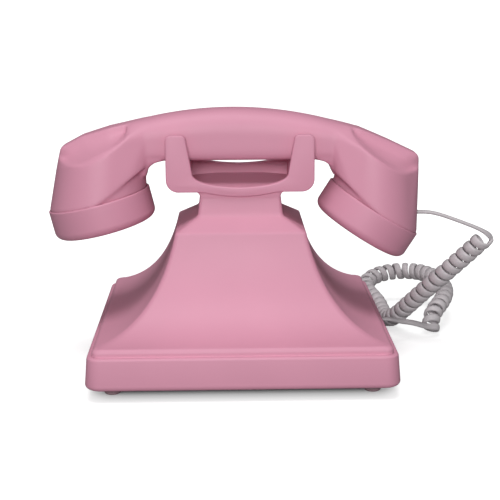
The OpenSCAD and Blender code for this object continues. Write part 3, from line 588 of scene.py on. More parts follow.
def body_rings():
    """Sections from the skirt to the neck, as (half x, back y, z, corner radius, front y)."""
    foot_z = SKIRT_Z1 + PLINTH_H

    def side(s, ledge, pull, neck):
        top = s - FLARE
        plinth = top - PLINTH_IN
        return (
            arc(s - FOOT_ROUND, SKIRT_Z0 + FOOT_ROUND, FOOT_ROUND, -90, 0, 7)
            + arc(top - EDGE_ROUND, SKIRT_Z1 - EDGE_ROUND, EDGE_ROUND, 0, 90, 7)
            + [(plinth + 0.5, SKIRT_Z1), (plinth + 0.12, SKIRT_Z1 + 0.12), (plinth, SKIRT_Z1 + 0.5)]
            + arc(plinth - PLINTH_ROUND, foot_z - PLINTH_ROUND, PLINTH_ROUND, 0, 80, 9)
            + [tuple(v) for v in quad_curve(
                (plinth - FOOT_IN, foot_z), (ledge + pull, PULL_Z), (ledge, LEDGE_Z), 48)]
            + [(neck + NECK_FOOT, NECK_Z0), (neck, NECK_Z1)])

    xs, ys = side(HALF_X, LEDGE_X, PULL_X, NECK_X), side(HALF_Y, LEDGE_Y, PULL_Y, NECK_Y)
    foot_y = HALF_Y - FLARE - PLINTH_IN - FOOT_IN
    rows = []
    for (hx, z), (back, _) in zip(xs, ys):
        t = min(max((z - foot_z) / (LEDGE_Z - foot_z), 0), 1)
        front = foot_y + (LEDGE_Y - foot_y) * t if 0 < t < 1 else back
        r = 9.0 - 0.6 * (HALF_X - hx) if z <= SKIRT_Z1 + 0.01 else 4.2 - 1.6 * t
        rows.append((hx, back, z, max(r, 1.5), front))
    last = len(rows) - 1
    return rounded(rows, {last - 2: 1.6, last - 1: 2.2})


def body_section(row, shift=(0.0, 0.0)):
    """One ring of the base; its middle lies off the axis where back and front differ."""
    hx, back, z, r, front = row
    loop = rounded_rect(hx - shift[0], (back + front) / 2 - shift[0], max(r - min(shift[0], 1), 1))
    return [(x, y + (back - front) / 2, z - shift[1]) for x, y in loop]


def make_body():
    outer = body_rings()
    rings = [body_section(row) for row in outer]
    inner = []
    for row in reversed(outer):
        if row[2] > LEDGE_Z - 1:
            inner.append(body_section(row, (WALL, 0.0)))
        elif row[2] > SKIRT_Z1 + PLINTH_H:
            inner.append(body_section(row, (WALL, WALL)))
    low_x, low_y = HALF_X - FLARE - WALL, HALF_Y - FLARE - WALL
    for inset, z in ((2.4, SKIRT_Z1 - WALL), (0, SKIRT_Z1 - WALL - 0.3), (0, SKIRT_Z0)):
        inner.append([(x, y, z) for x, y in rounded_rect(low_x - inset, low_y - inset, 6.4)])
    points, faces = loft(rings + inner, loop=True)
    shell = raw_object("body_work", points, faces)
    hole = raw_object("dial_hole", *rod(DIAL_R + 0.15, -26, 24, 128))
    hole.data.transform(DIAL_PLACE)
    cutters = [hole]
    for y in JACK_YS:
        cutters.append(raw_box("jack_hole", (-97.4, y - 6.2, 12.3), (-84.0, y + 6.2, 24.7)))
    combine(shell, cutters, "DIFFERENCE")
    body = to_piece(shell, "body", MATERIALS["pink"], sharp=38)
    dress(body, "body_shell", "base")


# ---------- cradle ----------

PLATE_X, PLATE_T, GAP, EAR_Z, SADDLE_Z = 45.9, 5.0, 19.5, 146.7, 129.1
WING_Z0, WING_R = 111.4, 7.7


def mirrored(half):
    return list(half) + [(-x, z) for x, z in reversed(half)]


def plate_outline(rim_z, rim_foot_x):
    lower = [(0.001, 108.6), (4, 108.7), (8, 109.0), (12, 109.4), (15, 109.9), (18.5, 110.5),
             (22, 111.2)]
    corner = arc(PLATE_X - WING_R, WING_Z0 + WING_R, WING_R, -90, 0, 12)
    top = arc(PLATE_X - 3.4, EAR_Z - 3.4, 3.4, 0, 90, 8) + arc(36.4, EAR_Z - 3, 3, 90, 175, 8)
    rim = [tuple(v) for v in quad_curve(
        (rim_foot_x, rim_z + 8), (rim_foot_x - 1.6, rim_z + 0.8), (0.001, rim_z), 24)]
    return mirrored(lower + [(26, WING_Z0)] + corner + top + rim)


def prism(outline, y):
    """The outline in x and z, run from -y to y."""
    return loft([[(x, -y, z) for x, z in outline], [(x, y, z) for x, z in outline]])


def saddle_floor():
    """The crowned, sloping bed between the ear plates."""
    xs = np.linspace(-31.5, 31.5, 25)
    ys = np.linspace(-GAP - 0.5, GAP + 0.5, 13)
    rings = []
    for x in xs:
        top = [(x, y, min(117.6 - 0.0018 * x * x, 115.95 - 0.0744 * y)) for y in ys]
        rings.append([(x, ys[-1], WING_Z0 + 0.2), (x, ys[0], WING_Z0 + 0.2)] + top)
    return loft(rings)


def make_cradle():
    edge = settings().phone_surface.edge / MM
    rear, front = plate_outline(114.4, 29.6), plate_outline(123.1, 32.0)
    base = raw_object("cradle_work", *slab(rear, GAP, GAP + PLATE_T, edge))
    parts = [raw_object("front_plate", *slab(front, -GAP - PLATE_T, -GAP, edge))]
    wing = ([(31, WING_Z0 + 0.05)]
            + arc(PLATE_X - WING_R, WING_Z0 + WING_R, WING_R - 0.05, -90, 0, 12)
            + arc(PLATE_X - 1.25, SADDLE_Z - 1.2, 1.2, 0, 90, 4)
            + arc(32.2, SADDLE_Z - 1.2, 1.2, 90, 180, 4))
    for outline in (wing, [(-x, z) for x, z in reversed(wing)]):
        parts.append(raw_object("wing", *prism(outline, GAP + 0.6)))
    parts.append(raw_object("floor", *saddle_floor()))
    flare = ([(NECK_X - 0.25, NECK_Z1), (NECK_X - 0.25, NECK_Z1 + 0.6)]
             + arc(NECK_X + 3.1, 108.1, 3.35, 180, 90, 9) + [(NECK_X + 3.1, WING_Z0 + 1)])
    rings = [[(x, y, z) for x, y in rounded_rect(hx, NECK_Y - 0.3, 1.6, 5)] for hx, z in flare]
    parts.append(raw_object("stub", *loft(rings)))
    combine(base, parts, "UNION")
    groove = [raw_box("groove", (-31, -GAP, 114.2), (31, -GAP + 1.2, 119.2))]
    for x in (-37.5, 37.5):
        for r, z0, z1 in ((4.9, 105, 124.2), (2.35, 120, 135)):
            drill = raw_object("drill", *rod(r, z0, z1, 48))
            drill.data.transform(Matrix.Translation((x, 0, 0)))
            groove.append(drill)
    combine(base, groove, "DIFFERENCE")
    cradle = to_piece(base, "cradle_piece", MATERIALS["pink"], sharp=40)
    dress(cradle, "cradle", "base")


# ---------- handset ----------

def top_z(x):
    return HANDSET_TOP - (x - 5.0) ** 2 / (2 * BACK_R)


def handle_section(x, w, lift=0.0, drop=0.0):
    z0, z1 = HANDLE_Z + lift, top_z(x) - drop
    mid, half = (z0 + z1) / 2, (z1 - z0) / 2
    out = []
    for i in range(40):
        a = 2 * math.pi * i / 40
        c, s = math.cos(a), math.sin(a)
        ey, ez = LOW_CORNER if s < 0 else TOP_CORNER
        out.append((x, w * math.copysign(abs(c) ** ey, c),
                    mid + half * math.copysign(abs(s) ** ez, s)))
    return out


def disc(place, rx, ry, z=0.0, n=72):
    turns = [2 * math.pi * k / n for k in range(n)]
    return [tuple(place @ Vector((rx * math.cos(a), ry * math.sin(a), z))) for a in turns]


def hull_field(points, grid):
    """Signed distance to the planes of the points' convex hull."""
    bm = bmesh.new()
    for p in points:
        bm.verts.new(p)
    bmesh.ops.convex_hull(bm, input=bm.verts)
    bmesh.ops.delete(bm, geom=[v for v in bm.verts if not v.link_faces], context="VERTS")
    bmesh.ops.recalc_face_normals(bm, faces=bm.faces)
    planes = {}
    for f in bm.faces:
        if f.calc_area() > 1e-4:
            d = f.normal.dot(f.verts[0].co)
            key = tuple(round(v, 3) for v in (*f.normal, d))
            planes[key] = (*f.normal, d)
    bm.free()
    out = np.full(grid[0].shape, -1e9, np.float32)
    for nx, ny, nz, d in planes.values():
        np.maximum(out, nx * grid[0] + ny * grid[1] + nz * grid[2] - d, out=out)
    return out


def soft_union(a, b, k):
    h = np.maximum(k - np.abs(a - b), 0.0) / k
    return np.minimum(a, b) - h * h * k * 0.25


def fillet_union(a, b, r):
    """Two fields joined with a round fillet of the given radius."""
    return np.maximum(r, np.minimum(a, b)) - np.hypot(np.maximum(r - a, 0), np.maximum(r - b, 0))


def soft_field(f, passes):
    for _ in range(passes):
        for axis in range(3):
            g = np.pad(f, [(1, 1) if a == axis else (0, 0) for a in range(3)], mode="edge")
            lo = [slice(None)] * 3
            hi = [slice(None)] * 3
            lo[axis], hi[axis] = slice(0, -2), slice(2, None)
            f = 0.5 * f + 0.25 * (g[tuple(lo)] + g[tuple(hi)])
    return f


def field_surface(f, origin, h):
    """Points and quads of the field's zero surface, one point to a crossed cell."""
    nx, ny, nz = f.shape
    cells = (nx - 1, ny - 1, nz - 1)
    total = np.zeros(cells + (3,), np.float32)
    count = np.zeros(cells, np.int8)
    corners = [(i, j, k) for i in (0, 1) for j in (0, 1) for k in (0, 1)]

    def at(c):
        return f[c[0]:c[0] + cells[0], c[1]:c[1] + cells[1], c[2]:c[2] + cells[2]]
    for a in corners:
        for axis in range(3):
            if a[axis]:
                continue
            b = tuple(v + (1 if i == axis else 0) for i, v in enumerate(a))
            fa, fb = at(a), at(b)
            cross = (fa < 0) != (fb < 0)
            t = np.where(cross, fa / np.where(cross, fa - fb, 1), 0)
            for i in range(3):
                total[..., i] += np.where(cross, a[i] + (t if i == axis else 0), 0)
            count += cross
    used = count > 0
    index = np.full(cells, -1, np.int64)
    index[used] = np.arange(used.sum())
    where = np.argwhere(used)
    points = where + total[used] / count[used][:, None]
    faces = []
    for axis in range(3):
        u, v = [(1, 2), (2, 0), (0, 1)][axis]
        lo = [slice(1, n - 1) for n in f.shape]
        hi = [slice(1, n - 1) for n in f.shape]
        lo[axis] = slice(0, f.shape[axis] - 1)
        hi[axis] = slice(1, f.shape[axis])
        a, b = f[tuple(lo)], f[tuple(hi)]
        for sign in (0, 1):
            hit = (a < 0) & (b >= 0) if sign == 0 else (a >= 0) & (b < 0)
            at_ = np.argwhere(hit)
            at_[:, u] += 1
            at_[:, v] += 1
            quad = []
            for du, dv in ((-1, -1), (0, -1), (0, 0), (-1, 0)):
                c = at_.copy()
                c[:, u] += du
                c[:, v] += dv
                quad.append(index[c[:, 0], c[:, 1], c[:, 2]])
            quad = np.stack(quad if sign == 0 else quad[::-1], axis=1)
            faces.append(quad)
    faces = np.concatenate(faces)
    grads = np.gradient(f)
    for _ in range(3):
        value, slope = sample(f, points), np.stack([sample(g, points) for g in grads], axis=1)
        points = points - slope * (value / np.maximum((slope ** 2).sum(axis=1), 1e-6))[:, None]
    return points * h + np.asarray(origin), faces


def sample(f, p):
    """The field's value between its grid points."""
    p = np.clip(p, 0, np.array(f.shape) - 1.001)
    i = p.astype(int)
    t = p - i
    out = 0
    for a in (0, 1):
        for b in (0, 1):
            for c in (0, 1):
                w = ((t[:, 0] if a else 1 - t[:, 0]) * (t[:, 1] if b else 1 - t[:, 1])
                     * (t[:, 2] if c else 1 - t[:, 2]))
                out = out + w * f[i[:, 0] + a, i[:, 1] + b, i[:, 2] + c]
    return out


def ridge_points(bars):
    """Round bars across the handset, as points for a hull: (x, top z, half width, radius)."""
    out = []
    for x, z, w, r in bars:
        for y in (-w, w):
            out += [(x + r * math.cos(a), y, z - r + r * math.sin(a))
                    for a in np.linspace(0, 2 * math.pi, 17)[:-1]]
    return out


BELLS = {
    "ear": dict(
        sign=1, at=EAR_SEAM, tilt=EAR_TILT, crease=(88.3, 136.2), lean=25.0, rx=30.2, ry=27.0,
        cheek=((58.2, 126.6), (89.4, 104.0)),
        scoop=[(-29, 7.5), (-22.7, 3), (-18.6, 0.8), (-13.9, -2.1), (-7.4, -3.1), (-0.4, -3.4),
               (7.6, -2.5), (14, -0.9), (20.5, 2), (22.4, 4.3), (27, 11)],
        bars=[(80, 150.4, 10, 4), (97, 145.2, 7, 4), (108.6, 139.1, 6, 4)]),
    "mouth": dict(
        sign=-1, at=MOUTH_SEAM, tilt=MOUTH_TILT, crease=(-86, 130.6), lean=-33.0, rx=29.7, ry=27.0,
        cheek=((-58.5, 122.5), (-85.7, 97.3)),
        scoop=[(-27, 10), (-22.3, 3.4), (-16, 1.6), (-9, 0.6), (-2, 0), (4.3, 0.1), (13.4, 1.4),
               (21.9, 5.3), (29, 10)],
        bars=[(-74, 148.6, 10, 4), (-92, 140.9, 7, 4), (-109, 132.8, 6, 4)]),
}
GRID = 0.9
COLLAR_R, CUP_R, CUP_DEPTH, SCOOP = 30.2, 20.0, 10.0, 3.2


def local(x, z, at, tilt):
    """x and z seen from a disc that is turned about Y."""
    c, s = math.cos(math.radians(tilt)), math.sin(math.radians(tilt))
    return c * (x - at[0]) - s * (z - at[1]), s * (x - at[0]) + c * (z - at[1])


def bell_field(bell, grid):
    """A bell: flanks cut off along the cheek, a round collar under them, a scoop on each side."""
    x, y, z = grid
    sign = bell["sign"]
    seam = frame_at(bell["at"][0], 0, bell["at"][1], turn_y=math.radians(bell["tilt"]))
    crease = frame_at(bell["crease"][0], 0, bell["crease"][1], turn_y=math.radians(bell["lean"]))
    hull = hull_field(
        handle_section(sign * BELL_X, HANDLE_W - 0.5) + disc(seam, BELL_R, BELL_R, -3.0)
        + disc(seam, BELL_R, BELL_R, 1.5) + disc(crease, bell["rx"], bell["ry"])
        + ridge_points(bell["bars"]), grid)
    (xa, za), (xb, zb) = bell["cheek"]
    run = math.hypot(xb - xa, zb - za)
    cheek = sign * ((zb - za) * (x - xa) - (xb - xa) * (z - za)) / run
    u, v = local(x, z, bell["at"], bell["tilt"])
    collar = 30 * (np.hypot(u / (31.3 + 0.19 * v), y / (30.2 - 0.06 * v)) - 1)
    body = soft_union(np.maximum(hull, cheek), np.maximum(hull, collar), 2.4)
    body = np.maximum(body, hull)
    u, h = local(x, z, bell["crease"], bell["lean"])
    tops = [(sign * BELL_X, top_z(sign * BELL_X))] + [b[:2] for b in bell["bars"]]
    tops = sorted(local(tx, tz, bell["crease"], bell["lean"]) for tx, tz in tops)
    height = np.interp(u, [t[0] for t in tops], [t[1] for t in tops])
    us, vs = zip(*bell["scoop"])
    low = np.polyval(np.polyfit(us, vs, 4), np.clip(u, us[0], us[-1]))
    band = np.maximum(height - low, 0.01)
    share = np.clip((h - low) / band, 0, 1)
    flank = np.clip((np.abs(y) - 5) / 7, 0, 1)
    depth = (SCOOP * np.clip(band / 7, 0, 1) * flank ** 2 * (3 - 2 * flank)
             * 3 * share ** 0.6 * (1 - share) ** 1.1)
    return np.maximum(body, hull + depth)


def fillet_wedge(x, y, z):
    """What fills the corner under the handle at a bell's inner wall, down to a quarter circle."""
    wide = 8 + 8 * np.sqrt(np.clip((z - 118.7) / 10, 0, 1.2))
    sides = [FILLET_X - x, FILLET_Z - z, x - 62, z - 131, np.abs(y) - wide]
    return np.maximum.reduce([FILLET_R - np.hypot(x - FILLET_X, z - FILLET_Z)] + sides)


def handset_field(grid):
    x, y, z = grid
    top = top_z(x)
    mid, half = (top + HANDLE_Z) / 2, (top - HANDLE_Z) / 2
    v = (z - mid) / half
    low = v < 0
    across, up = (np.where(low, 2 / a, 2 / b) for a, b in zip(LOW_CORNER, TOP_CORNER))
    f = np.abs(y / HANDLE_W) ** across + np.abs(v) ** up
    f = f ** np.where(low, 0.16, 0.4) - 1
    slope = np.sqrt(sum(g * g for g in np.gradient(f, GRID)))
    out = np.maximum(np.clip(f / np.maximum(slope, 0.02), -20, 20), np.abs(x) - 70)
    for bell in BELLS.values():
        part = bell["sign"] * x[:, 0, 0] > 45
        sub = [g[part] for g in grid]
        t = np.clip((134 - sub[2]) / 8, 0, 1)
        joined = fillet_union(out[part], bell_field(bell, sub), 0.3 + 1.5 * t * t * (3 - 2 * t))
        wedge = fillet_wedge(bell["sign"] * sub[0], sub[1], sub[2])
        out[part] = soft_union(joined, wedge, 0.3 + 1.7 * t)
    out = soft_field(out, 1)
    for bell in BELLS.values():
        part = bell["sign"] * x[:, 0, 0] > 45
        out[part] = np.maximum(out[part], -local(x[part], z[part], bell["at"], bell["tilt"])[1])
    return out


def make_handset():
    lo, hi = (-119.0, -36.0, 76.0), (126.0, 36.0, 166.0)
    axes = [np.arange(a, b + GRID / 2, GRID, dtype=np.float32) for a, b in zip(lo, hi)]
    field = handset_field(np.meshgrid(*axes, indexing="ij"))
    shell = raw_object("handset_work", *field_surface(field, lo, GRID))
    collars, cups = [], []
    for place in (EAR_PLACE, MOUTH_PLACE):
        collar = raw_object("collar", *rod(COLLAR_R, -8, 1))
        cup = raw_object("cup", *lathe(
            [(0, -10), (COLLAR_R - 2, -10), (COLLAR_R - 2, 0.3), (CUP_R, 0.3), (CUP_R, CUP_DEPTH),
             (0, CUP_DEPTH)]))
        for obj, group in ((collar, collars), (cup, cups)):
            obj.data.transform(place)
            group.append(obj)
    combine(shell, collars, "UNION")
    z = HANDSET_EXIT[2]
    combine(shell, cups + [
        raw_box("jack_room", (-111.7, -6.2, z - 5.1), (-101, 6.2, z + 5.2)),
        raw_box("cord_hole", (-119, -2.7, z - 1.6), (-111, 2.7, z + 1.6))], "DIFFERENCE")
    handset = to_piece(shell, "handset", MATERIALS["pink"], sharp=45)
    dress(handset, "handset_shell", "handset")

    jack = raw_box("jack", (-111.6, -6, z - 5), (-102, 6, z + 5))
    combine(jack, [raw_box("socket", (-113, -4, z - 3.5), (-103.4, 4, z + 3.5))], "DIFFERENCE")
    plug = raw_box("plug", (-111.5, -3.8, z - 3.3), (-103.8, 3.8, z + 3.3))
    for obj, name, material, slot in ((jack, "handset_jack_piece", "black", "black_plastic"),
                                      (plug, "handset_plug_piece", "plug", "cord_plastic")):
        piece = to_piece(obj, name, MATERIALS[material])
        dress(piece, name[:-6], "handset")


def cap_profile():
    """The cap's closed section, from its centre hole out over the rim and back inside."""
    outer = [(1.3, -CAP_H - 0.8), (7, -CAP_H - 0.75), (14, -CAP_H - 0.6), (21, -CAP_H - 0.35)]
    rim = arc(CAP_R - 5.4, -CAP_H + 5.4, 5.4, -88, 0, 12)
    lip = ([(CAP_R, -1.0)] + arc(CAP_R - 0.8, -0.2, 0.8, 0, 90, 5)
           + [(31.85, 0.6), (31.85, -0.3), (31.3, -0.7)])
    inner = [(30.4, -0.7), (30.4, -14.5), (CAP_R - 6.5, -16.6), (1.3, -16.8)]
    return outer + rim + lip + inner


def make_caps():
    for name, place, rings in (("ear_cap", EAR_PLACE, ((6, 7.0),)),
                               ("mouth_cap", MOUTH_PLACE, ((6, 6.0), (12, 12.0)))):
        work = raw_object(name + "_work", *lathe(cap_profile(), 128))
        for count, radius in rings:
            use_tree(work, "ring_of_holes", MATERIALS["pink"], Count=count, Ring_Radius=radius,
                     Hole_Radius=1.3, Height=-CAP_H + 0.5, Depth=6.0)
        cap = to_piece(work, name + "_piece", MATERIALS["pink"], place, sharp=35)
        dress(cap, name, "handset")


# ---------- dial ----------

def dial_piece(obj, name, material, body, node=None):
    dress(to_piece(obj, name, MATERIALS[material], DIAL_PLACE), node, body)


def make_dial():
    floor_z, in_r, rim = -20.0, DIAL_R - 1.8, 3.5
    housing = raw_object("housing", *lathe(
        [(4, floor_z), (DIAL_R - 0.6, floor_z), (DIAL_R, floor_z + 0.6)]
        + arc(DIAL_R - 0.7, rim - 0.7, 0.7, 0, 90, 5) + arc(in_r + 0.5, rim - 0.5, 0.5, 90, 180, 4)
        + [(in_r, floor_z + 2.6), (in_r - 0.4, floor_z + 2.2), (4, floor_z + 2.2)], 160))
    dial_piece(housing, "dial_surround", "pink", "base", "dial_housing")

    wheel = raw_object("wheel", *lathe(
        [(3.02, 2.0), (29.9, 2.0)] + arc(29.7, 2.7, 0.7, -90, 0, 4) + arc(29.4, 3.5, 1.0, 0, 90, 6)
        + [(16.5, 4.5), (16.0, 4.35), (15.5, 4.5), (3.02, 4.5)], 160))
    drills = []
    for i in range(10):
        a = math.radians(30 + 30 * i)
        r = 5.3
        drill = raw_object("finger_drill", *lathe(
            [(0, 0.5), (r + 0.7, 0.5), (r + 0.7, 1.9), (r + 0.55, 2.05), (r + 0.2, 2.25), (r, 2.6),
             (r, 3.7), (r + 0.15, 4.1), (r + 0.5, 4.42), (r + 0.9, 4.56), (r + 0.9, 6), (0, 6)], 48))
        drill.data.transform(Matrix.Translation((22 * math.cos(a), 22 * math.sin(a), 0)))
        drills.append(drill)
    combine(wheel, drills, "DIFFERENCE")
    dial_piece(wheel, "finger_wheel_piece", "wheel", "dial", "finger_wheel")

    cap = raw_object("cap", *lathe(
        [(0, 4.5), (13.0, 4.5), (13.0, 5.2), (12.7, 5.6), (12.2, 5.8), (11.8, 5.75), (11.4, 5.6),
         (10.8, 5.65), (8, 6.05), (4, 6.3), (0, 6.4)], 96))
    dial_piece(cap, "dial_centre", "ivory", "dial", "dial_centre_cap")

    plate = raw_object("plate", *lathe(
        [(13, -1.6), (30.6, -1.6), (30.6, -0.95), (30.45, -0.8), (13, -0.8)], 128))
    dial_piece(plate, "number_ring", "ivory", "base", "number_plate")

    points, faces = [], []
    for i in range(10):
        curve = bpy.data.curves.new("digit", "FONT")
        curve.body = str((i + 1) % 10)
        curve.size = 7.0
        curve.extrude = 0.06
        curve.align_x = "CENTER"
        curve.align_y = "CENTER"
        text = link(bpy.data.objects.new("digit", curve))
        mesh = baked(text)
        a = math.radians(30 + 30 * i)
        mesh.transform(Matrix.Translation((22 * math.cos(a), 22 * math.sin(a), -0.76)))
        start = len(points)
        points += [tuple(v.co) for v in mesh.vertices]
        faces += [tuple(start + v for v in f.vertices) for f in mesh.polygons]
        bpy.data.objects.remove(text)
        bpy.data.meshes.remove(mesh)
    digits = raw_object("digits", points, faces)
    dial_piece(digits, "dial_numbers", "ink", "base")

    bar = ([(in_r - 10.0, 5.2), (in_r - 10.3, 5.7), (in_r - 10.0, 6.2), (in_r - 1.0, 6.2)]
           + arc(in_r - 1.4, 5.2, 1.0, 90, 0, 5)[1:]
           + [(in_r - 0.4, -1.6), (in_r - 1.4, -1.6), (in_r - 1.4, 5.2)])
    stop = raw_object("stop", *prism(bar, 2.2))
    stop.data.transform(Matrix.Rotation(math.radians(-24), 4, "Z"))
    mod = stop.modifiers.new("bevel", "BEVEL")
    mod.width, mod.segments, mod.limit_method = 0.25, 3, "ANGLE"
    stop.data = baked(stop)
    dial_piece(stop, "finger_stop_piece", "steel", "base", "finger_stop")


# ---------- small parts ----------

def make_feet():
    foot = raw_object("foot", *lathe(
        [(0, 0), (3.6, 0)] + arc(3.6, 1.4, 1.4, -90, 0, 8)
        + [(5.0, 7.4), (4.7, 7.7), (4.7, 8.6), (0, 8.6)], 64))
    use_tree(foot, "four_corners", MATERIALS["rubber"], Width=2 * 77.4, Depth=150.0)
    feet = to_piece(foot, "rubber_feet", MATERIALS["rubber"])
    dress(feet, "feet", "base")

    head = raw_object("screw", *lathe(
        [(0, 7.0), (1.5, 7.05), (2.4, 7.25), (2.8, 7.8), (2.8, 8.6), (1.45, 8.6), (1.45, 20.0),
         (1.0, 20.6), (0, 20.6)], 32))
    slots = [raw_box("slot", (-1.7, -0.35, 6.5), (1.7, 0.35, 7.9)),
             raw_box("slot", (-0.35, -1.7, 6.5), (0.35, 1.7, 7.9))]
    combine(head, slots, "DIFFERENCE")
    use_tree(head, "four_corners", MATERIALS["steel"], Width=148.0, Depth=132.0)
    screws = to_piece(head, "base_screws_piece", MATERIALS["steel"])
    dress(screws, "base_screws", "base")


NODE_FINISH = {
    "black": ["bottom_plate", "hook_contacts", "board_parts", "volume_switch", "base_jack",
              "line_jack", "transmitter_capsule"],
    "steel": ["ballast_weight", "dial_base_plate", "dial_shaft", "return_spring", "plunger_springs",
              "cradle_screws", "ringer_frame", "gong_screws", "clapper", "clapper_pin",
              "receiver_capsule"],
    "brass": ["main_gear", "impulse_pinion", "gong_left", "gong_right"],
    "ivory": ["hook_plungers", "volume_slider"],
    "board": ["circuit_board"],
    "copper": ["ringer_coils", "impulse_contacts"],
    "plug": ["base_plug"],
}


def finish_nodes():
    for finish, nodes in NODE_FINISH.items():
        for node in nodes:
            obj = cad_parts[node]
            if not obj.material_slots:
                obj.data.materials.append(None)
            for s in obj.material_slots:
                s.material = MATERIALS[finish]


# ---------- cord ----------

def along(route, u):
    n = len(route) - 1
    i = min(int(math.floor(u)), n - 1)
    t = u - i
    b, c = route[i], route[i + 1]
    a = route[i - 1] if i > 0 else 2 * b - c
    d = route[i + 2] if i < n - 1 else 2 * c - b
    return ((1 - t) ** 3 * a + (3 * t ** 3 - 6 * t * t + 4) * b
            + (1 + 3 * t + 3 * t * t - 3 * t ** 3) * c + t ** 3 * d) / 6


def smooth_route(route, steps):
    route = [np.asarray(p, float) for p in route]
    return np.array([along(route, i / steps) for i in range((len(route) - 1) * steps + 1)])


def even(points, n):
    s = np.r_[0, np.cumsum(np.linalg.norm(np.diff(points, axis=0), axis=1))]
    w = np.linspace(0, s[-1], n + 1)
    return np.stack([np.interp(w, s, points[:, k]) for k in range(3)], axis=1), s[-1]


def directions(points):
    d = np.empty_like(points)
    d[1:-1] = points[2:] - points[:-2]
    d[0], d[-1] = points[1] - points[0], points[-1] - points[-2]
    return d / np.linalg.norm(d, axis=1, keepdims=True)


def carried(dirs, first):
    out = []
    v = np.asarray(first, float)
    for d in dirs:
        v = v - (v @ d) * d
        v = v / np.linalg.norm(v)
        out.append(v)
    return np.array(out)


def turned(dirs, first, last):
    """Side vectors carried along, turning steadily so that the last one lies along last."""
    c = carried(dirs, first)
    last = np.asarray(last, float)
    t = np.linspace(0, 1, len(dirs))[:, None]
    out = (1 - t) * c + t * last * (1 if c[-1] @ last > 0 else -1)
    return out / np.linalg.norm(out, axis=1, keepdims=True)


def soft_line(values, n):
    """Running mean over n values to each side."""
    return np.convolve(np.pad(values, n, mode="edge"), np.full(2 * n + 1, 1 / (2 * n + 1)), "valid")


def make_cord():
    c = settings().phone_cord
    line = smooth_route(COIL_ROUTE, 8)
    _, length = even(line, 10)
    curls = round(length / CURL_PITCH)
    axis, _ = even(line, round((curls - 0.5) * c.rings))
    dirs = directions(axis)
    side = carried(dirs, (-1.0, 0.0, 0.0))
    across = np.cross(dirs, side)
    angle = np.radians(20 + 360 * np.arange(len(axis)) / c.rings)[:, None]
    radial = np.cos(angle) * side + np.sin(angle) * across
    coil = axis + CURL_R * radial
    start_dir = (coil[1] - coil[0]) / np.linalg.norm(coil[1] - coil[0])
    end_dir = (coil[-1] - coil[-2]) / np.linalg.norm(coil[-1] - coil[-2])
    lead = smooth_route(LEAD_ROUTE + [coil[0] - 4 * start_dir, coil[0] - 0.05 * start_dir], 6)
    tail = smooth_route([coil[-1] + 0.05 * end_dir, coil[-1] + 4 * end_dir] + BASE_LEAD_END, 6)
    path = np.concatenate([lead, coil[1:-1], tail])
    tangent = directions(path)
    a, b = len(lead), len(lead) + len(coil) - 2
    flat = np.concatenate([
        turned(tangent[:a], (0.0, 0.0, 1.0), radial[0]), radial[1:-1],
        turned(tangent[b:], radial[-1], (0.0, 0.0, 1.0))])
    flat -= (flat * tangent).sum(axis=1, keepdims=True) * tangent
    flat /= np.linalg.norm(flat, axis=1, keepdims=True)
    wide = np.cross(tangent, flat)
    # The curls close up on the inside of a bend, so the cord is drawn narrower there
    bend = np.linalg.norm(np.gradient(dirs, axis=0), axis=1) / (length / len(axis))
    inside = soft_line(CURL_PITCH * (1 - (CURL_R + 1.2) * bend) - 0.35, c.rings)
    width = np.concatenate([
        np.full(a, 4.3), np.clip(inside, 4.0, c.width / MM)[1:-1], np.full(len(tail), 4.3)])
    half_t = c.thickness / MM / 2
    rings = []
    for p, n, w, half_w in zip(path, flat, wide, soft_line(width, 8) / 2):
        ring = []
        for k in range(12):
            q = 2 * math.pi * k / 12
            cs, sn = math.cos(q), math.sin(q)
            ring.append(p + half_t * math.copysign(abs(cs) ** 0.85, cs) * n
                        + half_w * math.copysign(abs(sn) ** 0.85, sn) * w)
        rings.append(ring)
    points, faces = loft(rings)
    cord = mesh_object("curly_cord", points, faces, MATERIALS["cord"], sharp=60)
    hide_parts("cord_handset_lead", "cord_coil", "cord_base_lead")
    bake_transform(cord)


# ---------- stage ----------

CAMERA_AT = (9.44647 + ROW_X, 782.33247, 243.08572)
CAMERA_YAW, CAMERA_PITCH, CAMERA_ROLL = -1.14893, 12.50332, -0.34280
CAMERA_FOCAL = 1246.20167     # in pixels of a 500-pixel frame


def make_camera():
    yaw, pitch, roll = (math.radians(v) for v in (CAMERA_YAW, CAMERA_PITCH, CAMERA_ROLL))
    forward = Vector((math.sin(yaw) * math.cos(pitch), -math.cos(yaw) * math.cos(pitch),
                      -math.sin(pitch)))
    right = Vector((-math.cos(yaw), -math.sin(yaw), 0))
    up = right.cross(forward)
    r2 = math.cos(roll) * right + math.sin(roll) * up
    u2 = -math.sin(roll) * right + math.cos(roll) * up
    data = bpy.data.cameras.new("camera")
    data.sensor_fit = "AUTO"
    data.sensor_width = 36.0
    data.lens = CAMERA_FOCAL / 500 * 36
    data.clip_end = 50
    camera = link(bpy.data.objects.new("camera", data))
    turn = Matrix((r2, u2, -forward)).transposed().to_4x4()
    camera.matrix_world = Matrix.Translation(Vector(CAMERA_AT) * MM) @ turn
    bpy.context.scene.camera = camera


def area_light(name, at, size, power):
    """A soft rectangular light that faces the phone."""
    data = bpy.data.lights.new(name, "AREA")
    data.shape = "RECTANGLE"
    data.size, data.size_y = size
    data.energy = power
    obj = link(bpy.data.objects.new(name, data))
    aim = Vector((0.0, 0.0, 0.08)) - Vector(at)
    obj.matrix_world = Matrix.Translation(at) @ aim.to_track_quat("-Z", "Y").to_matrix().to_4x4()


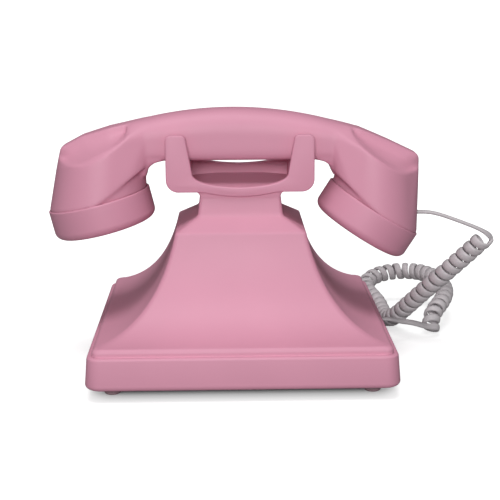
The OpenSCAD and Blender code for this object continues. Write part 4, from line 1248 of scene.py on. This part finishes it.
def make_world(strength):
    world = bpy.data.worlds.new("surround")
    world.use_nodes = True
    bpy.context.scene.world = world
    tree = world.node_tree
    tree.nodes.clear()
    out = tree.nodes.new("ShaderNodeOutputWorld")
    lit, seen, path, either, mix = (tree.nodes.new("ShaderNode" + n) for n in (
        "Background", "Background", "LightPath", "Math", "MixShader"))
    lit.inputs["Strength"].default_value = strength
    either.operation = "MAXIMUM"
    wire(tree, (path, "Is Camera Ray", either, 0), (path, "Is Transmission Ray", either, 1),
         (either, 0, mix, "Fac"), (lit, 0, mix, 1), (seen, 0, mix, 2), (mix, 0, out, "Surface"))
    for node in (lit, seen):
        node.inputs["Color"].default_value = (1, 1, 1, 1)


def glow_with_painted_shadow(tree):
    """Strength of the table's glow: none under the base, rising with the distance from it."""
    at = tree.nodes.new("ShaderNodeTexCoord").outputs["Object"]
    for kind, value in (("SUBTRACT", (ROW_X * MM, 0, 0)), ("ABSOLUTE", None),
                        ("SUBTRACT", (0.076, 0.072, 0)), ("MAXIMUM", (0, 0, 0))):
        node = tree.nodes.new("ShaderNodeVectorMath")
        node.operation = kind
        tree.links.new(at, node.inputs[0])
        if value:
            node.inputs[1].default_value = value
        at = node.outputs[0]
    far = tree.nodes.new("ShaderNodeVectorMath")
    far.operation = "LENGTH"
    tree.links.new(at, far.inputs[0])
    curve = tree.nodes.new("ShaderNodeFloatCurve")
    points = curve.mapping.curves[0].points
    points[0].location, points[-1].location = (0.0, 0.0), (1.0, 1.0)
    # From nothing at the base's edge to 0.62 some 18 mm out: a painted contact shadow round the
    # base.
    for distance, strength in ((0.018, 0.62), (0.15, 0.70), (0.4, 1.0)):
        points.new(distance, strength)
    for point in points:
        point.handle_type = "VECTOR"
    curve.mapping.update()
    tree.links.new(far.outputs["Value"], curve.inputs["Value"])
    return curve.outputs["Value"]


def make_floor():
    """A pale table that keeps the phone's shadow and meets the white surround."""
    mat, tree, bsdf = new_material("table")
    grain = noise(tree, 40.0, 2.0)
    pale = ramp(tree, grain.outputs["Fac"], [(0.0, (0.80, 0.80, 0.80)), (1.0, (0.82, 0.82, 0.82))])
    tree.links.new(pale, bsdf.inputs["Base Color"])
    bsdf.inputs["Roughness"].default_value = 0.9
    bsdf.inputs["Specular IOR Level"].default_value = 0.1
    out = tree.nodes["Material Output"]
    glow, path, add, dark, mix, power = (tree.nodes.new("ShaderNode" + n) for n in (
        "Emission", "LightPath", "AddShader", "BsdfDiffuse", "MixShader", "Math"))
    power.operation = "MULTIPLY"
    # The camera sees this glow withheld near the base: a painted shadow.
    tree.links.new(glow_with_painted_shadow(tree), power.inputs[1])
    dark.inputs["Color"].default_value = (0.30, 0.30, 0.30, 1)
    wire(tree, (path, "Is Camera Ray", power, 0), (power, 0, glow, "Strength"),
         (path, "Is Camera Ray", mix, "Fac"), (dark, 0, mix, 1), (bsdf, 0, mix, 2),
         (mix, 0, add, 0), (glow, 0, add, 1), (add, 0, out, "Surface"))
    size = 20.0
    corners = [(-size, -size), (size, -size), (size, size), (-size, size)]
    mesh = new_mesh("table", [(x, y, -0.0002) for x, y in corners], [(0, 1, 2, 3)])
    mesh.materials.append(mat)
    link(bpy.data.objects.new("table", mesh))


def make_stage():
    s = settings().phone_stage
    make_camera()
    make_world(s.sky)
    make_floor()
    area_light("key", (0.10, 1.60, 0.62), (0.6, 0.4), s.key)
    area_light("overhead", (0.10, 0.35, 1.70), (1.0, 0.8), s.fill)
    bpy.context.scene.view_settings.view_transform = "Standard"


# ---------- operators ----------

def make_operator(idname, label, text, action):
    def execute(self, context):
        if not MATERIALS:
            make_materials()
        action()
        return {"FINISHED"}
    return type("PHONE_OT_" + idname, (bpy.types.Operator,), {
        "bl_idname": "phone." + idname, "bl_label": label, "__doc__": text, "execute": execute})


STEPS = [
    make_operator("stage", "Stage", "Camera, lights, surround and table", make_stage),
    make_operator("cord", "Curly cord", "The curly cord from the handset to the base", make_cord),
    make_operator("body", "Body", "The concave shell of the base with its holes", make_body),
    make_operator("cradle", "Cradle", "The ear plates, saddles and trough", make_cradle),
    make_operator("handset", "Handset", "The handle and both bells", make_handset),
    make_operator("caps", "Caps", "The ear and mouth caps with their perforations", make_caps),
    make_operator("dial", "Dial", "The dial's surround, wheel, numbers, cap and stop", make_dial),
    make_operator("feet", "Feet and screws", "The feet and the screws of the base", make_feet),
    make_operator("works", "Works", "Finishes of the pieces inside and of the plugs", finish_nodes),
]


class PHONE_PT_panel(bpy.types.Panel):
    """Buttons for each step of the telephone"""
    bl_idname = "PHONE_PT_panel"
    bl_label = "Desk telephone"
    bl_space_type = "VIEW_3D"
    bl_region_type = "UI"
    bl_category = "Telephone"

    def draw(self, context):
        for group in ("phone_colours", "phone_surface", "phone_cord", "phone_stage"):
            owner = getattr(context.scene, group)
            box = self.layout.box()
            for key in owner.__annotations__:
                box.prop(owner, key)
        for step in STEPS:
            self.layout.operator(step.bl_idname)


GROUPS = {"phone_colours": PhoneColours, "phone_surface": PhoneSurface,
          "phone_cord": PhoneCord, "phone_stage": PhoneStage}


def register():
    for name, cls in GROUPS.items():
        bpy.utils.register_class(cls)
        setattr(bpy.types.Scene, name, bpy.props.PointerProperty(type=cls))
    for cls in STEPS + [PHONE_PT_panel]:
        bpy.utils.register_class(cls)


def unregister():
    for cls in reversed(STEPS + [PHONE_PT_panel]):
        bpy.utils.unregister_class(cls)
    for name, cls in GROUPS.items():
        delattr(bpy.types.Scene, name)
        bpy.utils.unregister_class(cls)


def main():
    register()
    for step in STEPS:
        getattr(bpy.ops.phone, step.bl_idname.split(".")[1])()


if __name__ == "__main__":
    main()
